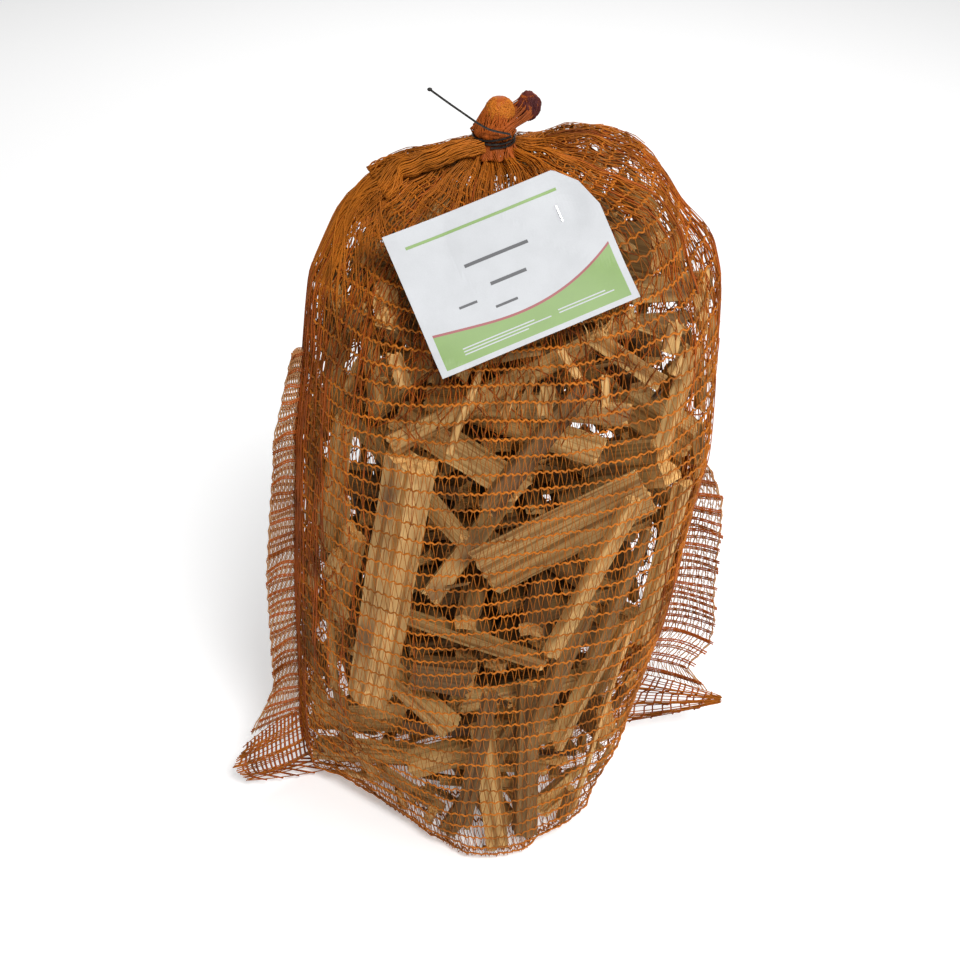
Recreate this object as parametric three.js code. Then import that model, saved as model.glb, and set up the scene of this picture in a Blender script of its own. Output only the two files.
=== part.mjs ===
// A standing net sack of split softwood kindling, tied at the neck with wire, with a paper tag.
// Millimetres, +Z up. X runs from side seam to side seam and the front of the sack looks towards -Y.
import * as THREE from 'three';
import { mergeVertices } from 'three/addons/utils/BufferGeometryUtils.js';

// Driving dimensions
const GAP = 0.4; // clearance between neighbouring solids
const NET_THICKNESS = 1.2; // the knitted net with its threads, as one sheet
const NET_CLEARANCE = 4; // how far the sheet stands off the outermost stick corners
const FLOOR_CLEARANCE = 2.5; // the lowest stick edge above the ground, so that the net passes under it
// Where the net is gathered: the foot of the neck, and the waist and top measured up from it
const NECK = { x: 2, y: -7, z: 500, radius: 14, waist: 11, waistHeight: 6, top: 12, clear: 1.6 };
const WIRE_RADIUS = 0.7;
// The tie wire: turns round the waist, then its straight end, from the middle of the neck's foot
const TIE = {
  sides: 6,
  steps: 72,
  turns: 2,
  pitch: 2.2,
  clear: 1.5,
  start: -1.9,
  end: [[8, -16, 12.5], [-6, -15, 17], [-22, -9, 27], [-38, -2, 38]],
};
// The tag's size and where it lies: lean is how far it faces up, turn how far its right side is raised
const TAG = {
  width: 125, height: 88, thickness: 0.5, corner: 18, x: 1, y: -64, z: 446, lean: 40, swing: -3, turn: 19,
};
// The cut corner, in shares of its size: where the side starts to slope, and the bend half way
const CUT = { side: 1.6, midAcross: 0.35, midDown: 0.65 };
const TAG_MARGIN = { across: 0.62, up: 0.66 }; // the part of the net that the tag rests on, in tag sizes
const STAPLE = { width: 0.6, length: 10, thickness: 0.6, fromRight: 24, fromTop: 25 };
const FLANGE_THICKNESS = 1.6;
const FLANGE_GAP = 1.3; // the panels' wall may lean outwards beside the flange
// Seam flanges: width beyond the body and pull towards the front at a few heights
const LEFT_FLANGE = {
  width: [[0, 26], [12, 44], [40, 54], [56, 30], [90, 17], [200, 19], [300, 13], [372, 6]],
  forward: [[0, 16], [30, 22], [60, 10], [372, 4]],
  top: 372,
};
const RIGHT_FLANGE = {
  width: [[0, 24], [10, 40], [28, 92], [46, 90], [66, 42], [140, 36], [230, 30], [268, 6]],
  forward: [[0, 24], [30, 56], [66, 24], [268, 6]],
  top: 268,
};
// The gathered rope of net over the left shoulder: points it passes over, and its half thickness
const SHOULDER_ROPE = [[-54, -4, 482], [-42, -9, 487], [-30, -11, 492], [-19, -11, 498]];
const SHOULDER_RADIUS = 5.5;
const TUFT_LOBES = [
  { name: 'net_tuft_lobe', at: [5, -9, 524], size: [10, 8, 9.5], lean: 12, colour: 0xc2571c },
  { name: 'net_tuft_twist', at: [23, -4, 524], size: [7.5, 8, 9], lean: 30, colour: 0x7e2f1e },
];
const STICK_GAP = 0.8; // clearance kept between two sticks
const EDGE_SHARE = 0.985; // sticks keep inside this share of the plan's half width
// A split stick's section: each corner's range in half widths and half thicknesses
const SECTION = {
  leftDrop: [0.55, 1], rightFoot: [0.7, 1], rightRise: [0.2, 0.95], crest: [-0.1, 0.6],
  leftReach: [0.75, 1], leftRise: [0.5, 0.9], fourSided: 0.35,
};
const END_SLANT = 0.25; // the steepest slope of a cut stick end
const MOST_TAPER = 0.22; // how much narrower a stick's thin end can be
const GOLDEN_SHARE = 0.618;
const ROUND_TURN = { start: 0.04, sweep: 0.92 }; // half turns from the right seam round the back
const ROUND_HEIGHT = { low: 50, span: 400 };
const ROUND_INSET = { side: 0.9, back: 0.88, flatten: 0.7, slope: 0.9 };
// How sticks are pushed apart: rounds, the share of them that also pull inwards, and the pull's strength
const SETTLING = { rounds: 900, pulling: 0.75, pull: 0.4, close: 0.05, heldShare: 0.15 };
const NET_DIRECTIONS = 900; // planes that the taut net is made of
const NECK_SUPPORTS = 8; // points round the neck's foot that the net runs up to
const LEAST_FACING = 0.05; // a ray nearly along a net plane isn't measured against it
const LEAST_CROSSING = 1e-4; // edges closer to parallel than this give no separating direction
const ROPE_MESH = { sides: 10, steps: 12 };
const NECK_SIDES = 20;
const LOBE_MESH = { sides: 12, rings: 9 };
const WIRE_STEPS_PER_TURN = 12;
const NECK_FOLDS = { count: 10, depth: 0.05, lip: 3, roll: 1, tieHalf: 1.5 };
const TUFT_FOLDS = { count: 5, twist: 2, depth: 0.07 };

// The sack's plan at a few heights: middle, half width, front, back, and how square the plan is
const SACK_PLAN = [
  { z: 0, middle: -12, half: 128, front: -124, back: 84, square: 1.5 },
  { z: 40, middle: -6, half: 138, front: -124, back: 91, square: 1.8 },
  { z: 120, middle: 1, half: 135, front: -117, back: 96, square: 2.2 },
  { z: 220, middle: 7, half: 136, front: -110, back: 97, square: 2.4 },
  { z: 320, middle: 10, half: 138, front: -104, back: 94, square: 2.4 },
  { z: 380, middle: 14, half: 136, front: -96, back: 89, square: 2.3 },
  { z: 420, middle: 23, half: 134, front: -82, back: 82, square: 2.2 },
  { z: 455, middle: 26, half: 122, front: -60, back: 70, square: 2.1 },
  { z: 480, middle: 22, half: 104, front: -40, back: 56, square: 2.0 },
  { z: 490, middle: 15, half: 84, front: -28, back: 44, square: 2.0 },
];

// Sticks that lie against the front of the net. Each end is [x, z, depth behind the net].
const FRONT_STICKS = [
  { name: 'long_slat', from: [-77, 344, 2], to: [78, 416, 2], width: 17, thick: 9 },
  { name: 'pale_block', from: [-72, 326, 2], to: [-106, 118, 2], width: 33, thick: 22, edge: -14 },
  { name: 'knotty_slat', from: [-112, 352, 34], to: [-33, 276, 2], width: 17, thick: 14 },
  { name: 'low_slant', from: [-56, 212, 2], to: [40, 318, 42], width: 18, thick: 15 },
  { name: 'wide_plank', from: [-18, 255, 22], to: [92, 308, 8], width: 54, thick: 12 },
  { name: 'over_plank', from: [-18, 300, 2], to: [46, 380, 3], width: 15, thick: 11 },
  { name: 'right_lean', from: [27, 180, 2], to: [84, 292, 2], width: 14, thick: 10 },
  { name: 'right_dark', from: [56, 160, 12], to: [94, 262, 8], width: 12, thick: 9 },
  { name: 'right_pale', from: [84, 170, 3], to: [112, 292, 3], width: 17, thick: 10 },
  { name: 'thin_splint', from: [50, 16, 1], to: [88, 196, 1], width: 5, thick: 4 },
  { name: 'left_upright', from: [-124, 236, 2], to: [-106, 350, 2], width: 16, thick: 12 },
  { name: 'left_end_top', from: [-142, 62, 6], to: [10, 84, 66], width: 15, thick: 15 },
  { name: 'left_end_middle', from: [-144, 42, 5], to: [20, 56, 56], width: 16, thick: 18 },
  { name: 'left_end_low', from: [-142, 22, 4], to: [30, 38, 42], width: 14, thick: 16 },
  { name: 'low_block', from: [-64, 62, 4], to: [60, 80, 10], width: 22, thick: 20 },
  { name: 'front_upright', from: [-38, 30, 2], to: [-16, 160, 2], width: 14, thick: 10 },
  { name: 'short_crosspiece', from: [-80, 190, 26], to: [18, 165, 4], width: 13, thick: 12 },
  { name: 'short_wedge', from: [-74, 150, 22], to: [-26, 154, 14], width: 30, thick: 16 },
  { name: 'pointed_end', from: [18, 112, 6], to: [60, 206, 16], width: 14, thick: 12 },
  { name: 'grey_slat', from: [60, 404, 6], to: [128, 388, 6], width: 18, thick: 10 },
  { name: 'torn_end', from: [-30, 352, 50], to: [60, 334, 3], width: 19, thick: 15 },
  { name: 'pale_end', from: [100, 312, 4], to: [124, 372, 8], width: 14, thick: 14 },
  { name: 'shoulder_block', from: [-86, 470, 16], to: [-36, 476, 16], width: 26, thick: 20 },
  { name: 'top_lath', from: [-86, 478, 42], to: [62, 484, 14], width: 12, thick: 9 },
  { name: 'left_slope_high', from: [-122, 366, 8], to: [-52, 452, 5], width: 20, thick: 12 },
  { name: 'left_slope_low', from: [-112, 394, 30], to: [-30, 436, 14], width: 20, thick: 14 },
  { name: 'left_corner', from: [-118, 430, 46], to: [-124, 362, 40], width: 22, thick: 16 },
  { name: 'right_lath', from: [58, 458, 4], to: [98, 486, 40], width: 9, thick: 6 },
  { name: 'blunt_end', from: [92, 448, 14], to: [158, 426, 44], width: 20, thick: 17 },
  { name: 'hidden_slat', from: [-60, 366, 22], to: [70, 344, 22], width: 18, thick: 10 },
  { name: 'back_slant', from: [-70, 352, 20], to: [8, 298, 16], width: 22, thick: 12 },
  { name: 'toe_left', from: [-9, 4, 0], to: [-16, 100, 26], width: 18, thick: 14 },
  { name: 'toe_right', from: [15, 4, 0], to: [22, 130, 30], width: 17, thick: 14 },
  { name: 'toe_side', from: [-48, 14, 6], to: [10, 100, 30], width: 14, thick: 12 },
  { name: 'low_plank', from: [-34, 98, 14], to: [74, 100, 10], width: 14, thick: 12 },
  { name: 'left_wedge', from: [-126, 150, 14], to: [-62, 102, 24], width: 22, thick: 18 },
  { name: 'left_inner', from: [-102, 262, 14], to: [-122, 166, 12], width: 20, thick: 14 },
  { name: 'right_low', from: [58, 66, 6], to: [116, 150, 8], width: 18, thick: 14 },
];

// Sticks round the sides and back, spread evenly by turn and height
const ROUND_STICKS = { count: 11, width: [22, 38], thick: [14, 22], length: [155, 205] };

const COLOURS = {
  paleWood: 0xd9b57a,
  midWood: 0xb98d4c,
  darkWood: 0x8f6a34,
  net: 0xb5591b,
  netLayered: 0x8a3210,
  wire: 0x2c2a28,
  paper: 0xf2f3ee,
  steel: 0xa9abad,
};

// A small repeatable random number generator, so that every build gives the same sticks
function seededRandom(seed) {
  let state = seed;
  return () => {
    state = (state * 1664525 + 1013904223) % 4294967296;
    return state / 4294967296;
  };
}
const random = seededRandom(14);
const between = (low, high) => low + (high - low) * random();

function standardMaterial(colour, roughness, metalness = 0) {
  return new THREE.MeshStandardMaterial({ color: colour, roughness, metalness });
}

// The sack's plan at any height
function planAt(z) {
  const last = SACK_PLAN.length - 1;
  const height = THREE.MathUtils.clamp(z, SACK_PLAN[0].z, SACK_PLAN[last].z);
  let row = 0;
  while (row < last - 1 && SACK_PLAN[row + 1].z < height) row += 1;
  const low = SACK_PLAN[row];
  const high = SACK_PLAN[row + 1];
  const part = (height - low.z) / (high.z - low.z);
  const plan = {};
  for (const key of ['middle', 'half', 'front', 'back', 'square']) {
    plan[key] = THREE.MathUtils.lerp(low[key], high[key], part);
  }
  return plan;
}

// Where the wall stands at x and z, on the front (side -1) or the back (side 1)
function wallPoint(x, z, depth, side) {
  const plan = planAt(z);
  const across = Math.min(Math.abs(x - plan.middle) / plan.half, EDGE_SHARE);
  const reach = side < 0 ? -plan.front : plan.back;
  const out = Math.pow(1 - Math.pow(across, plan.square), 1 / plan.square) * reach;
  return new THREE.Vector3(x, side * Math.max(out - depth, 0), z);
}

// How far outside the wall a point is, as a share of the plan's size (1 is on the wall)
function wallShare(point) {
  const plan = planAt(point.z);
  const across = Math.abs(point.x - plan.middle) / plan.half;
  const reach = point.y < 0 ? -plan.front : plan.back;
  const out = Math.abs(point.y) / reach;
  return Math.pow(Math.pow(across, plan.square) + Math.pow(out, plan.square), 1 / plan.square);
}

// A stick as a box in space: middle, three unit directions (length, width, thickness) and half sizes
function stickBox(name, start, end, width, thick, edge = 0, held = true) {
  const along = end.clone().sub(start);
  const middle = start.clone().add(end).multiplyScalar(0.5);
  const outward = new THREE.Vector3(middle.x - planAt(middle.z).middle, middle.y, 0).normalize();
  const length = along.length();
  along.normalize();
  const across = new THREE.Vector3().crossVectors(outward, along).normalize();
  const normal = new THREE.Vector3().crossVectors(along, across).normalize();
  const turn = THREE.MathUtils.degToRad(edge);
  across.applyAxisAngle(along, turn);
  normal.applyAxisAngle(along, turn);
  middle.addScaledVector(outward, -thick / 2);
  return { name, middle, axes: [along, across, normal], half: [length / 2, width / 2, thick / 2], held };
}

function frontStickBoxes() {
  return FRONT_STICKS.map((stick) =>
    stickBox(
      stick.name,
      wallPoint(...stick.from, -1),
      wallPoint(...stick.to, -1),
      stick.width,
      stick.thick,
      stick.edge,
    ),
  );
}

// Sticks on the sides and back: a golden-angle spread from the right side round the back to the left
function roundStickBoxes() {
  const boxes = [];
  for (let i = 0; i < ROUND_STICKS.count; i += 1) {
    const share = (i + 0.5) / ROUND_STICKS.count;
    const turn = Math.PI * (ROUND_TURN.start + ROUND_TURN.sweep * ((i * GOLDEN_SHARE) % 1));
    const z = ROUND_HEIGHT.low + ROUND_HEIGHT.span * share;
    const slope = between(-ROUND_INSET.slope, ROUND_INSET.slope);
    const length = between(...ROUND_STICKS.length);
    const plan = planAt(z);
    const middle = new THREE.Vector3(plan.middle + plan.half * ROUND_INSET.side * Math.cos(turn), 0, z);
    middle.y = plan.back * ROUND_INSET.back * Math.sin(turn);
    const level = new THREE.Vector3(-Math.sin(turn), Math.cos(turn) * ROUND_INSET.flatten, 0).normalize();
    const along = level.multiplyScalar(Math.cos(slope)).add(new THREE.Vector3(0, 0, Math.sin(slope)));
    const start = middle.clone().addScaledVector(along, -length / 2);
    const end = middle.clone().addScaledVector(along, length / 2);
    const width = between(...ROUND_STICKS.width);
    const thick = between(...ROUND_STICKS.thick);
    const name = `round_${String(i + 1).padStart(2, '0')}`;
    boxes.push(stickBox(name, start, end, width, thick, 0, false));
  }
  return boxes;
}

// The eight corners of a stick's box
function corners(box) {
  const points = [];
  for (const a of [-1, 1]) {
    for (const b of [-1, 1]) {
      for (const c of [-1, 1]) {
        const point = box.middle.clone();
        point.addScaledVector(box.axes[0], a * box.half[0]);
        point.addScaledVector(box.axes[1], b * box.half[1]);
        point.addScaledVector(box.axes[2], c * box.half[2]);
        points.push(point);
      }
    }
  }
  return points;
}

// Points along a stick's four long edges
function edgePoints(box) {
  const spans = 6;
  const points = [];
  for (let i = 0; i <= spans; i += 1) {
    for (const [b, c] of [[-1, -1], [-1, 1], [1, -1], [1, 1]]) {
      const point = box.middle.clone();
      point.addScaledVector(box.axes[0], box.half[0] * ((2 * i) / spans - 1));
      point.addScaledVector(box.axes[1], b * box.half[1]);
      point.addScaledVector(box.axes[2], c * box.half[2]);
      points.push(point);
    }
  }
  return points;
}

const boxRadius = (box) => Math.hypot(...box.half);

// The shortest push that parts two boxes by the stick gap, or null if they are clear (separating axes)
function overlapPush(one, two) {
  const apart = two.middle.clone().sub(one.middle);
  const reach = boxRadius(one) + boxRadius(two) + STICK_GAP;
  if (apart.length() > reach) return null;
  const directions = [...one.axes, ...two.axes];
  for (const a of one.axes) {
    for (const b of two.axes) {
      const cross = new THREE.Vector3().crossVectors(a, b);
      if (cross.lengthSq() > LEAST_CROSSING) directions.push(cross.normalize());
    }
  }
  let best = null;
  for (const direction of directions) {
    let extent = STICK_GAP;
    for (const box of [one, two]) {
      for (let k = 0; k < 3; k += 1) extent += box.half[k] * Math.abs(box.axes[k].dot(direction));
    }
    const distance = apart.dot(direction);
    const depth = extent - Math.abs(distance);
    if (depth <= 0) return null;
    if (!best || depth < best.depth) best = { depth, direction, sign: Math.sign(distance) || 1 };
  }
  return best.direction.clone().multiplyScalar(best.depth * best.sign);
}

// How much of a push the first stick takes: a stick against the front gives way less than one round the back
function pushShare(one, two, heldShare) {
  if (one.held === two.held) return 0.5;
  return one.held ? heldShare : 1 - heldShare;
}

// Moves the boxes apart until none overlap, keeping them above the ground and inside the wall
function settle(boxes) {
  const { rounds, pulling, pull, close, heldShare } = SETTLING;
  for (let round = 0; round < rounds; round += 1) {
    let worst = 0;
    for (let i = 0; i < boxes.length; i += 1) {
      for (let j = i + 1; j < boxes.length; j += 1) {
        const move = overlapPush(boxes[i], boxes[j]);
        if (!move) continue;
        worst = Math.max(worst, move.length());
        const share = pushShare(boxes[i], boxes[j], heldShare);
        boxes[i].middle.addScaledVector(move, -share);
        boxes[j].middle.addScaledVector(move, 1 - share);
      }
    }
    for (const box of boxes) {
      const points = corners(box);
      const low = Math.min(...points.map((point) => point.z));
      if (low < FLOOR_CLEARANCE) box.middle.z += FLOOR_CLEARANCE - low;
      const high = Math.max(...points.map((point) => point.z));
      const ceiling = SACK_PLAN.at(-1).z;
      if (high > ceiling) box.middle.z -= high - ceiling;
      let farthest = points[0];
      for (const point of points) if (wallShare(point) > wallShare(farthest)) farthest = point;
      const share = wallShare(farthest);
      if (share > 1 && round < rounds * pulling) {
        const inward = new THREE.Vector3(farthest.x - planAt(farthest.z).middle, farthest.y, 0);
        box.middle.addScaledVector(inward, -(share - 1) * pull);
      }
    }
    if (worst < close && round > rounds * pulling) break;
  }
}

// The outline of a split stick's end: a rough four or five sided section inside width by thick
function splitSection(width, thick) {
  const w = width / 2;
  const t = thick / 2;
  const points = [
    new THREE.Vector2(-w, -t * between(...SECTION.leftDrop)),
    new THREE.Vector2(w * between(...SECTION.rightFoot), -t),
    new THREE.Vector2(w, t * between(...SECTION.rightRise)),
    new THREE.Vector2(w * between(...SECTION.crest), t),
    new THREE.Vector2(-w * between(...SECTION.leftReach), t * between(...SECTION.leftRise)),
  ];
  if (random() < SECTION.fourSided) points.splice(3, 1);
  return new THREE.Shape(points);
}

// A split stick along +Z, centred, with a little taper, bow and slanted ends
function splitStickGeometry(length, width, thick) {
  const spans = 3;
  const geometry = new THREE.ExtrudeGeometry(splitSection(width, thick), {
    depth: length,
    steps: spans,
    bevelEnabled: false,
  });
  geometry.translate(0, 0, -length / 2);
  const taper = between(0, MOST_TAPER);
  const slant = [between(-END_SLANT, END_SLANT), between(-END_SLANT, END_SLANT)];
  const narrow = random() < 0.5 ? 1 : -1;
  const position = geometry.attributes.position;
  for (let i = 0; i < position.count; i += 1) {
    const z = position.getZ(i);
    const share = 0.5 + (narrow * z) / length;
    const size = 1 - taper * share;
    const end = z > 0 ? 1 : 0;
    const isEnd = Math.abs(Math.abs(z) - length / 2) < 0.01;
    const cut = isEnd ? slant[end] * (position.getX(i) - (end ? width : -width) / 2) : 0;
    position.setX(i, position.getX(i) * size);
    position.setY(i, position.getY(i) * size);
    const trimmed = end ? Math.min(cut, 0) : Math.max(cut, 0);
    position.setZ(i, z + trimmed);
  }
  return geometry;
}

function stickMesh(box, index) {
  const [length, width, thick] = box.half.map((half) => half * 2);
  const colours = [COLOURS.paleWood, COLOURS.midWood, COLOURS.darkWood, COLOURS.midWood];
  const colour = box.name === 'pale_block' ? COLOURS.paleWood : colours[index % colours.length];
  const mesh = new THREE.Mesh(splitStickGeometry(length, width, thick), standardMaterial(colour, 0.8));
  mesh.name = `kindling_${box.name}`;
  const turned = new THREE.Matrix4().makeBasis(box.axes[1], box.axes[2], box.axes[0]);
  mesh.quaternion.setFromRotationMatrix(turned);
  mesh.position.copy(box.middle);
  return mesh;
}

// Directions spread evenly over a sphere
function sphereDirections(count) {
  const golden = Math.PI * (3 - Math.sqrt(5));
  const list = [];
  for (let i = 0; i < count; i += 1) {
    const z = 1 - (2 * (i + 0.5)) / count;
    const flat = Math.sqrt(1 - z * z);
    list.push(new THREE.Vector3(flat * Math.cos(golden * i), flat * Math.sin(golden * i), z));
  }
  return list;
}

// The taut net: the planes that rest on the outermost stick corners and on the gathered neck
function netPlanes(boxes) {
  const points = boxes.flatMap(corners);
  for (let i = 0; i < NECK_SUPPORTS; i += 1) {
    const turn = (i * 2 * Math.PI) / NECK_SUPPORTS;
    const x = NECK.x + NECK.radius * Math.cos(turn);
    const y = NECK.y + NECK.radius * Math.sin(turn);
    points.push(new THREE.Vector3(x, y, NECK.z - NET_CLEARANCE));
  }
  return sphereDirections(NET_DIRECTIONS).map((direction) => {
    let reach = -Infinity;
    for (const point of points) reach = Math.max(reach, point.dot(direction));
    return { direction, reach: reach + NET_CLEARANCE };
  });
}

// How far a ray from inside the sack runs before it meets the taut net
function netDistance(planes, origin, ray) {
  let nearest = Infinity;
  for (const plane of planes) {
    const towards = plane.direction.dot(ray);
    if (towards < LEAST_FACING) continue;
    nearest = Math.min(nearest, (plane.reach - plane.direction.dot(origin)) / towards);
  }
  return nearest;
}

// A closed sheet from two grids of points of the same size, outer and inner
function sheetGeometry(outer, inner) {
  const rows = outer.length;
  const columns = outer[0].length;
  const positions = [];
  const addQuad = (a, b, c, d) => {
    for (const point of [a, b, c, a, c, d]) positions.push(point.x, point.y, point.z);
  };
  for (let i = 0; i < rows - 1; i += 1) {
    for (let j = 0; j < columns - 1; j += 1) {
      addQuad(outer[i][j], outer[i][j + 1], outer[i + 1][j + 1], outer[i + 1][j]);
      addQuad(inner[i][j], inner[i + 1][j], inner[i + 1][j + 1], inner[i][j + 1]);
    }
  }
  for (let j = 0; j < columns - 1; j += 1) {
    addQuad(outer[0][j], inner[0][j], inner[0][j + 1], outer[0][j + 1]);
    addQuad(outer[rows - 1][j], outer[rows - 1][j + 1], inner[rows - 1][j + 1], inner[rows - 1][j]);
  }
  for (let i = 0; i < rows - 1; i += 1) {
    addQuad(outer[i][0], outer[i + 1][0], inner[i + 1][0], inner[i][0]);
    const last = columns - 1;
    addQuad(outer[i][last], inner[i][last], inner[i + 1][last], outer[i + 1][last]);
  }
  const geometry = new THREE.BufferGeometry();
  geometry.setAttribute('position', new THREE.Float32BufferAttribute(positions, 3));
  return closedGeometry(geometry);
}

// Merges shared corners and drops triangles that have shrunk to a line
function closedGeometry(geometry) {
  const bare = geometry.clone();
  bare.deleteAttribute('normal');
  bare.deleteAttribute('uv');
  const merged = mergeVertices(bare, 1e-3);
  const index = [];
  const list = merged.index.array;
  for (let i = 0; i < list.length; i += 3) {
    const [a, b, c] = [list[i], list[i + 1], list[i + 2]];
    if (a !== b && b !== c && a !== c) index.push(a, b, c);
  }
  merged.setIndex(index);
  merged.computeVertexNormals();
  return merged;
}

const NET_COLUMNS = 22; // steps from seam to seam
const BODY_ROWS = 18; // steps up the standing wall
const DOME_ROWS = 8; // steps over the shoulders to the neck
const BASE_ROWS = 4; // steps under the base to the bottom seam
const FIRST_ROW = 8; // the height of the wall's first row above the ground
const DOME_START = 372; // the height where the wall turns over into the shoulders
const LAST_LIFTED_ROW = 4; // rows counted from the neck, above which no stick reaches the net
const TOP_REACH = 0.7; // how far across the neck's foot the last row ends
const DOME_EASE = 0.9; // rows lie a little closer together towards the neck when under 1
const LIFT_CLEARANCE = 1.2; // least space between a facet of the net and a stick's edge

// The rays that a panel's rows run along: level ones up the wall, then rising ones over the shoulders
function wallRows() {
  const rows = [{ origin: axisAt(NET_THICKNESS), rise: 0 }];
  for (let i = 0; i < BODY_ROWS; i += 1) {
    const z = THREE.MathUtils.lerp(FIRST_ROW, DOME_START, i / (BODY_ROWS - 1));
    rows.push({ origin: axisAt(z), rise: 0 });
  }
  const steepest = Math.atan2(NECK.z - DOME_START, NECK.radius * TOP_REACH);
  for (let i = 1; i <= DOME_ROWS; i += 1) {
    rows.push({ origin: axisAt(DOME_START), rise: steepest * Math.pow(i / DOME_ROWS, DOME_EASE) });
  }
  return rows;
}

// The sack's upright axis, which leans a little to meet the neck
function axisAt(z) {
  return new THREE.Vector3((NECK.x * z) / NECK.z, 0, z);
}

function rayAt(rise, turn) {
  const flat = Math.cos(rise);
  return new THREE.Vector3(flat * Math.cos(turn), flat * Math.sin(turn), Math.sin(rise));
}

// The turn of a column about the axis, from the left seam to the right one. side -1 is the front.
function columnTurn(column, side) {
  const share = column / NET_COLUMNS;
  return side < 0 ? Math.PI * (1 + share) : Math.PI * (1 - share);
}

// Raises a grid of distances wherever a flat facet between its points would cut into a stick
function liftOverSticks(distances, rows, points, side) {
  for (const point of points) {
    if (point.y * side < -NET_CLEARANCE) continue;
    const domed = point.z > DOME_START;
    const offset = point.clone().sub(axisAt(Math.min(point.z, DOME_START)));
    const rise = domed ? Math.atan2(offset.z, Math.hypot(offset.x, offset.y)) : 0;
    const inRow = rows.findLastIndex((row) =>
      domed ? row.origin.z >= DOME_START && row.rise <= rise : row.rise === 0 && row.origin.z <= point.z);
    const i = THREE.MathUtils.clamp(inRow, 0, rows.length - LAST_LIFTED_ROW);
    const turned = Math.abs(Math.atan2(offset.y * side, offset.x));
    const column = THREE.MathUtils.clamp((1 - turned / Math.PI) * NET_COLUMNS, 0, NET_COLUMNS - 0.001);
    const j = Math.floor(column);
    const low = Math.min(distances[i][j], distances[i][j + 1], distances[i + 1][j], distances[i + 1][j + 1]);
    const short = offset.length() + NET_THICKNESS + LIFT_CLEARANCE - low;
    if (short <= 0) continue;
    for (const [a, b] of [[i, j], [i, j + 1], [i + 1, j], [i + 1, j + 1]]) {
      distances[a][b] = Math.max(distances[a][b], low + short);
    }
  }
}

// One panel of the sack, from the bottom seam, round the base and up to the neck
function panelGrids(planes, points, side) {
  const rows = wallRows();
  const columns = Array.from({ length: NET_COLUMNS + 1 }, (_, j) => columnTurn(j, side));
  const distances = rows.map(({ origin, rise }) =>
    columns.map((turn) => netDistance(planes, origin, rayAt(rise, turn))));
  liftOverSticks(distances, rows, points, side);
  const seamShift = new THREE.Vector3(0, (side * GAP) / 2, 0);
  const outer = [];
  const inner = [];
  const addBaseRow = (share) => {
    const baseRow = (shorter) => {
      const left = distances[0][0] - shorter;
      const right = distances[0][NET_COLUMNS] - shorter;
      return columns.map((turn, j) => {
        const reach = distances[0][j] - shorter;
        const across = (1 - Math.cos((Math.PI * j) / NET_COLUMNS)) / 2;
        const seamX = THREE.MathUtils.lerp(-left, right, across);
        const x = THREE.MathUtils.lerp(seamX, reach * Math.cos(turn), share);
        return new THREE.Vector3(x, reach * Math.sin(turn) * share, shorter).add(seamShift);
      });
    };
    outer.push(baseRow(0));
    inner.push(baseRow(NET_THICKNESS));
  };
  for (let i = 0; i <= BASE_ROWS; i += 1) addBaseRow(i / BASE_ROWS);
  for (let i = 1; i < rows.length; i += 1) {
    const { origin, rise } = rows[i];
    const reach = (shorter) => (turn, j) =>
      origin.clone().addScaledVector(rayAt(rise, turn), distances[i][j] - shorter).add(seamShift);
    outer.push(columns.map(reach(0)));
    inner.push(columns.map(reach(NET_THICKNESS)));
  }
  return { outer, inner };
}

function netPanel({ outer, inner }, name) {
  const [first, second] = name.includes('front') ? [outer, inner] : [inner, outer];
  const mesh = new THREE.Mesh(sheetGeometry(first, second), standardMaterial(COLOURS.net, 0.7));
  mesh.name = name;
  return mesh;
}

// The outermost edge of the two panels at a seam, from the foot upwards, on the left (-1) or the right (1)
function seamPoints(frontGrids, backGrids, hand) {
  const column = hand < 0 ? 0 : NET_COLUMNS;
  return frontGrids.outer.slice(BASE_ROWS).map((row, i) => {
    const front = row[column];
    const back = backGrids.outer[BASE_ROWS + i][column];
    return new THREE.Vector3(hand * Math.max(hand * front.x, hand * back.x), 0, front.z);
  });
}

// A list of [height, value] pairs read at any height
function readAt(pairs, height) {
  if (height <= pairs[0][0]) return pairs[0][1];
  for (let i = 1; i < pairs.length; i += 1) {
    const [low, lowValue] = pairs[i - 1];
    const [high, highValue] = pairs[i];
    if (height <= high) return THREE.MathUtils.mapLinear(height, low, high, lowValue, highValue);
  }
  return pairs.at(-1)[1];
}

// The flat flange where the two panels are sewn together, with its ear at the bottom corner
function seamFlange(frontGrids, backGrids, hand, name) {
  const { width, forward, top } = hand < 0 ? LEFT_FLANGE : RIGHT_FLANGE;
  const steps = 3;
  const back = [];
  const front = [];
  for (const seam of seamPoints(frontGrids, backGrids, hand).filter((point) => point.z <= top)) {
    const wide = readAt(width, seam.z);
    const pull = readAt(forward, seam.z);
    const backRow = [];
    const frontRow = [];
    for (let i = 0; i <= steps; i += 1) {
      const share = i / steps;
      const x = seam.x + hand * (FLANGE_GAP + wide * share);
      const y = -pull * share * share;
      backRow.push(new THREE.Vector3(x, y + FLANGE_THICKNESS / 2, seam.z));
      frontRow.push(new THREE.Vector3(x, y - FLANGE_THICKNESS / 2, seam.z));
    }
    back.push(backRow);
    front.push(frontRow);
  }
  const [outer, inner] = hand < 0 ? [back, front] : [front, back];
  const mesh = new THREE.Mesh(sheetGeometry(outer, inner), standardMaterial(COLOURS.netLayered, 0.75));
  mesh.name = name;
  return mesh;
}

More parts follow.
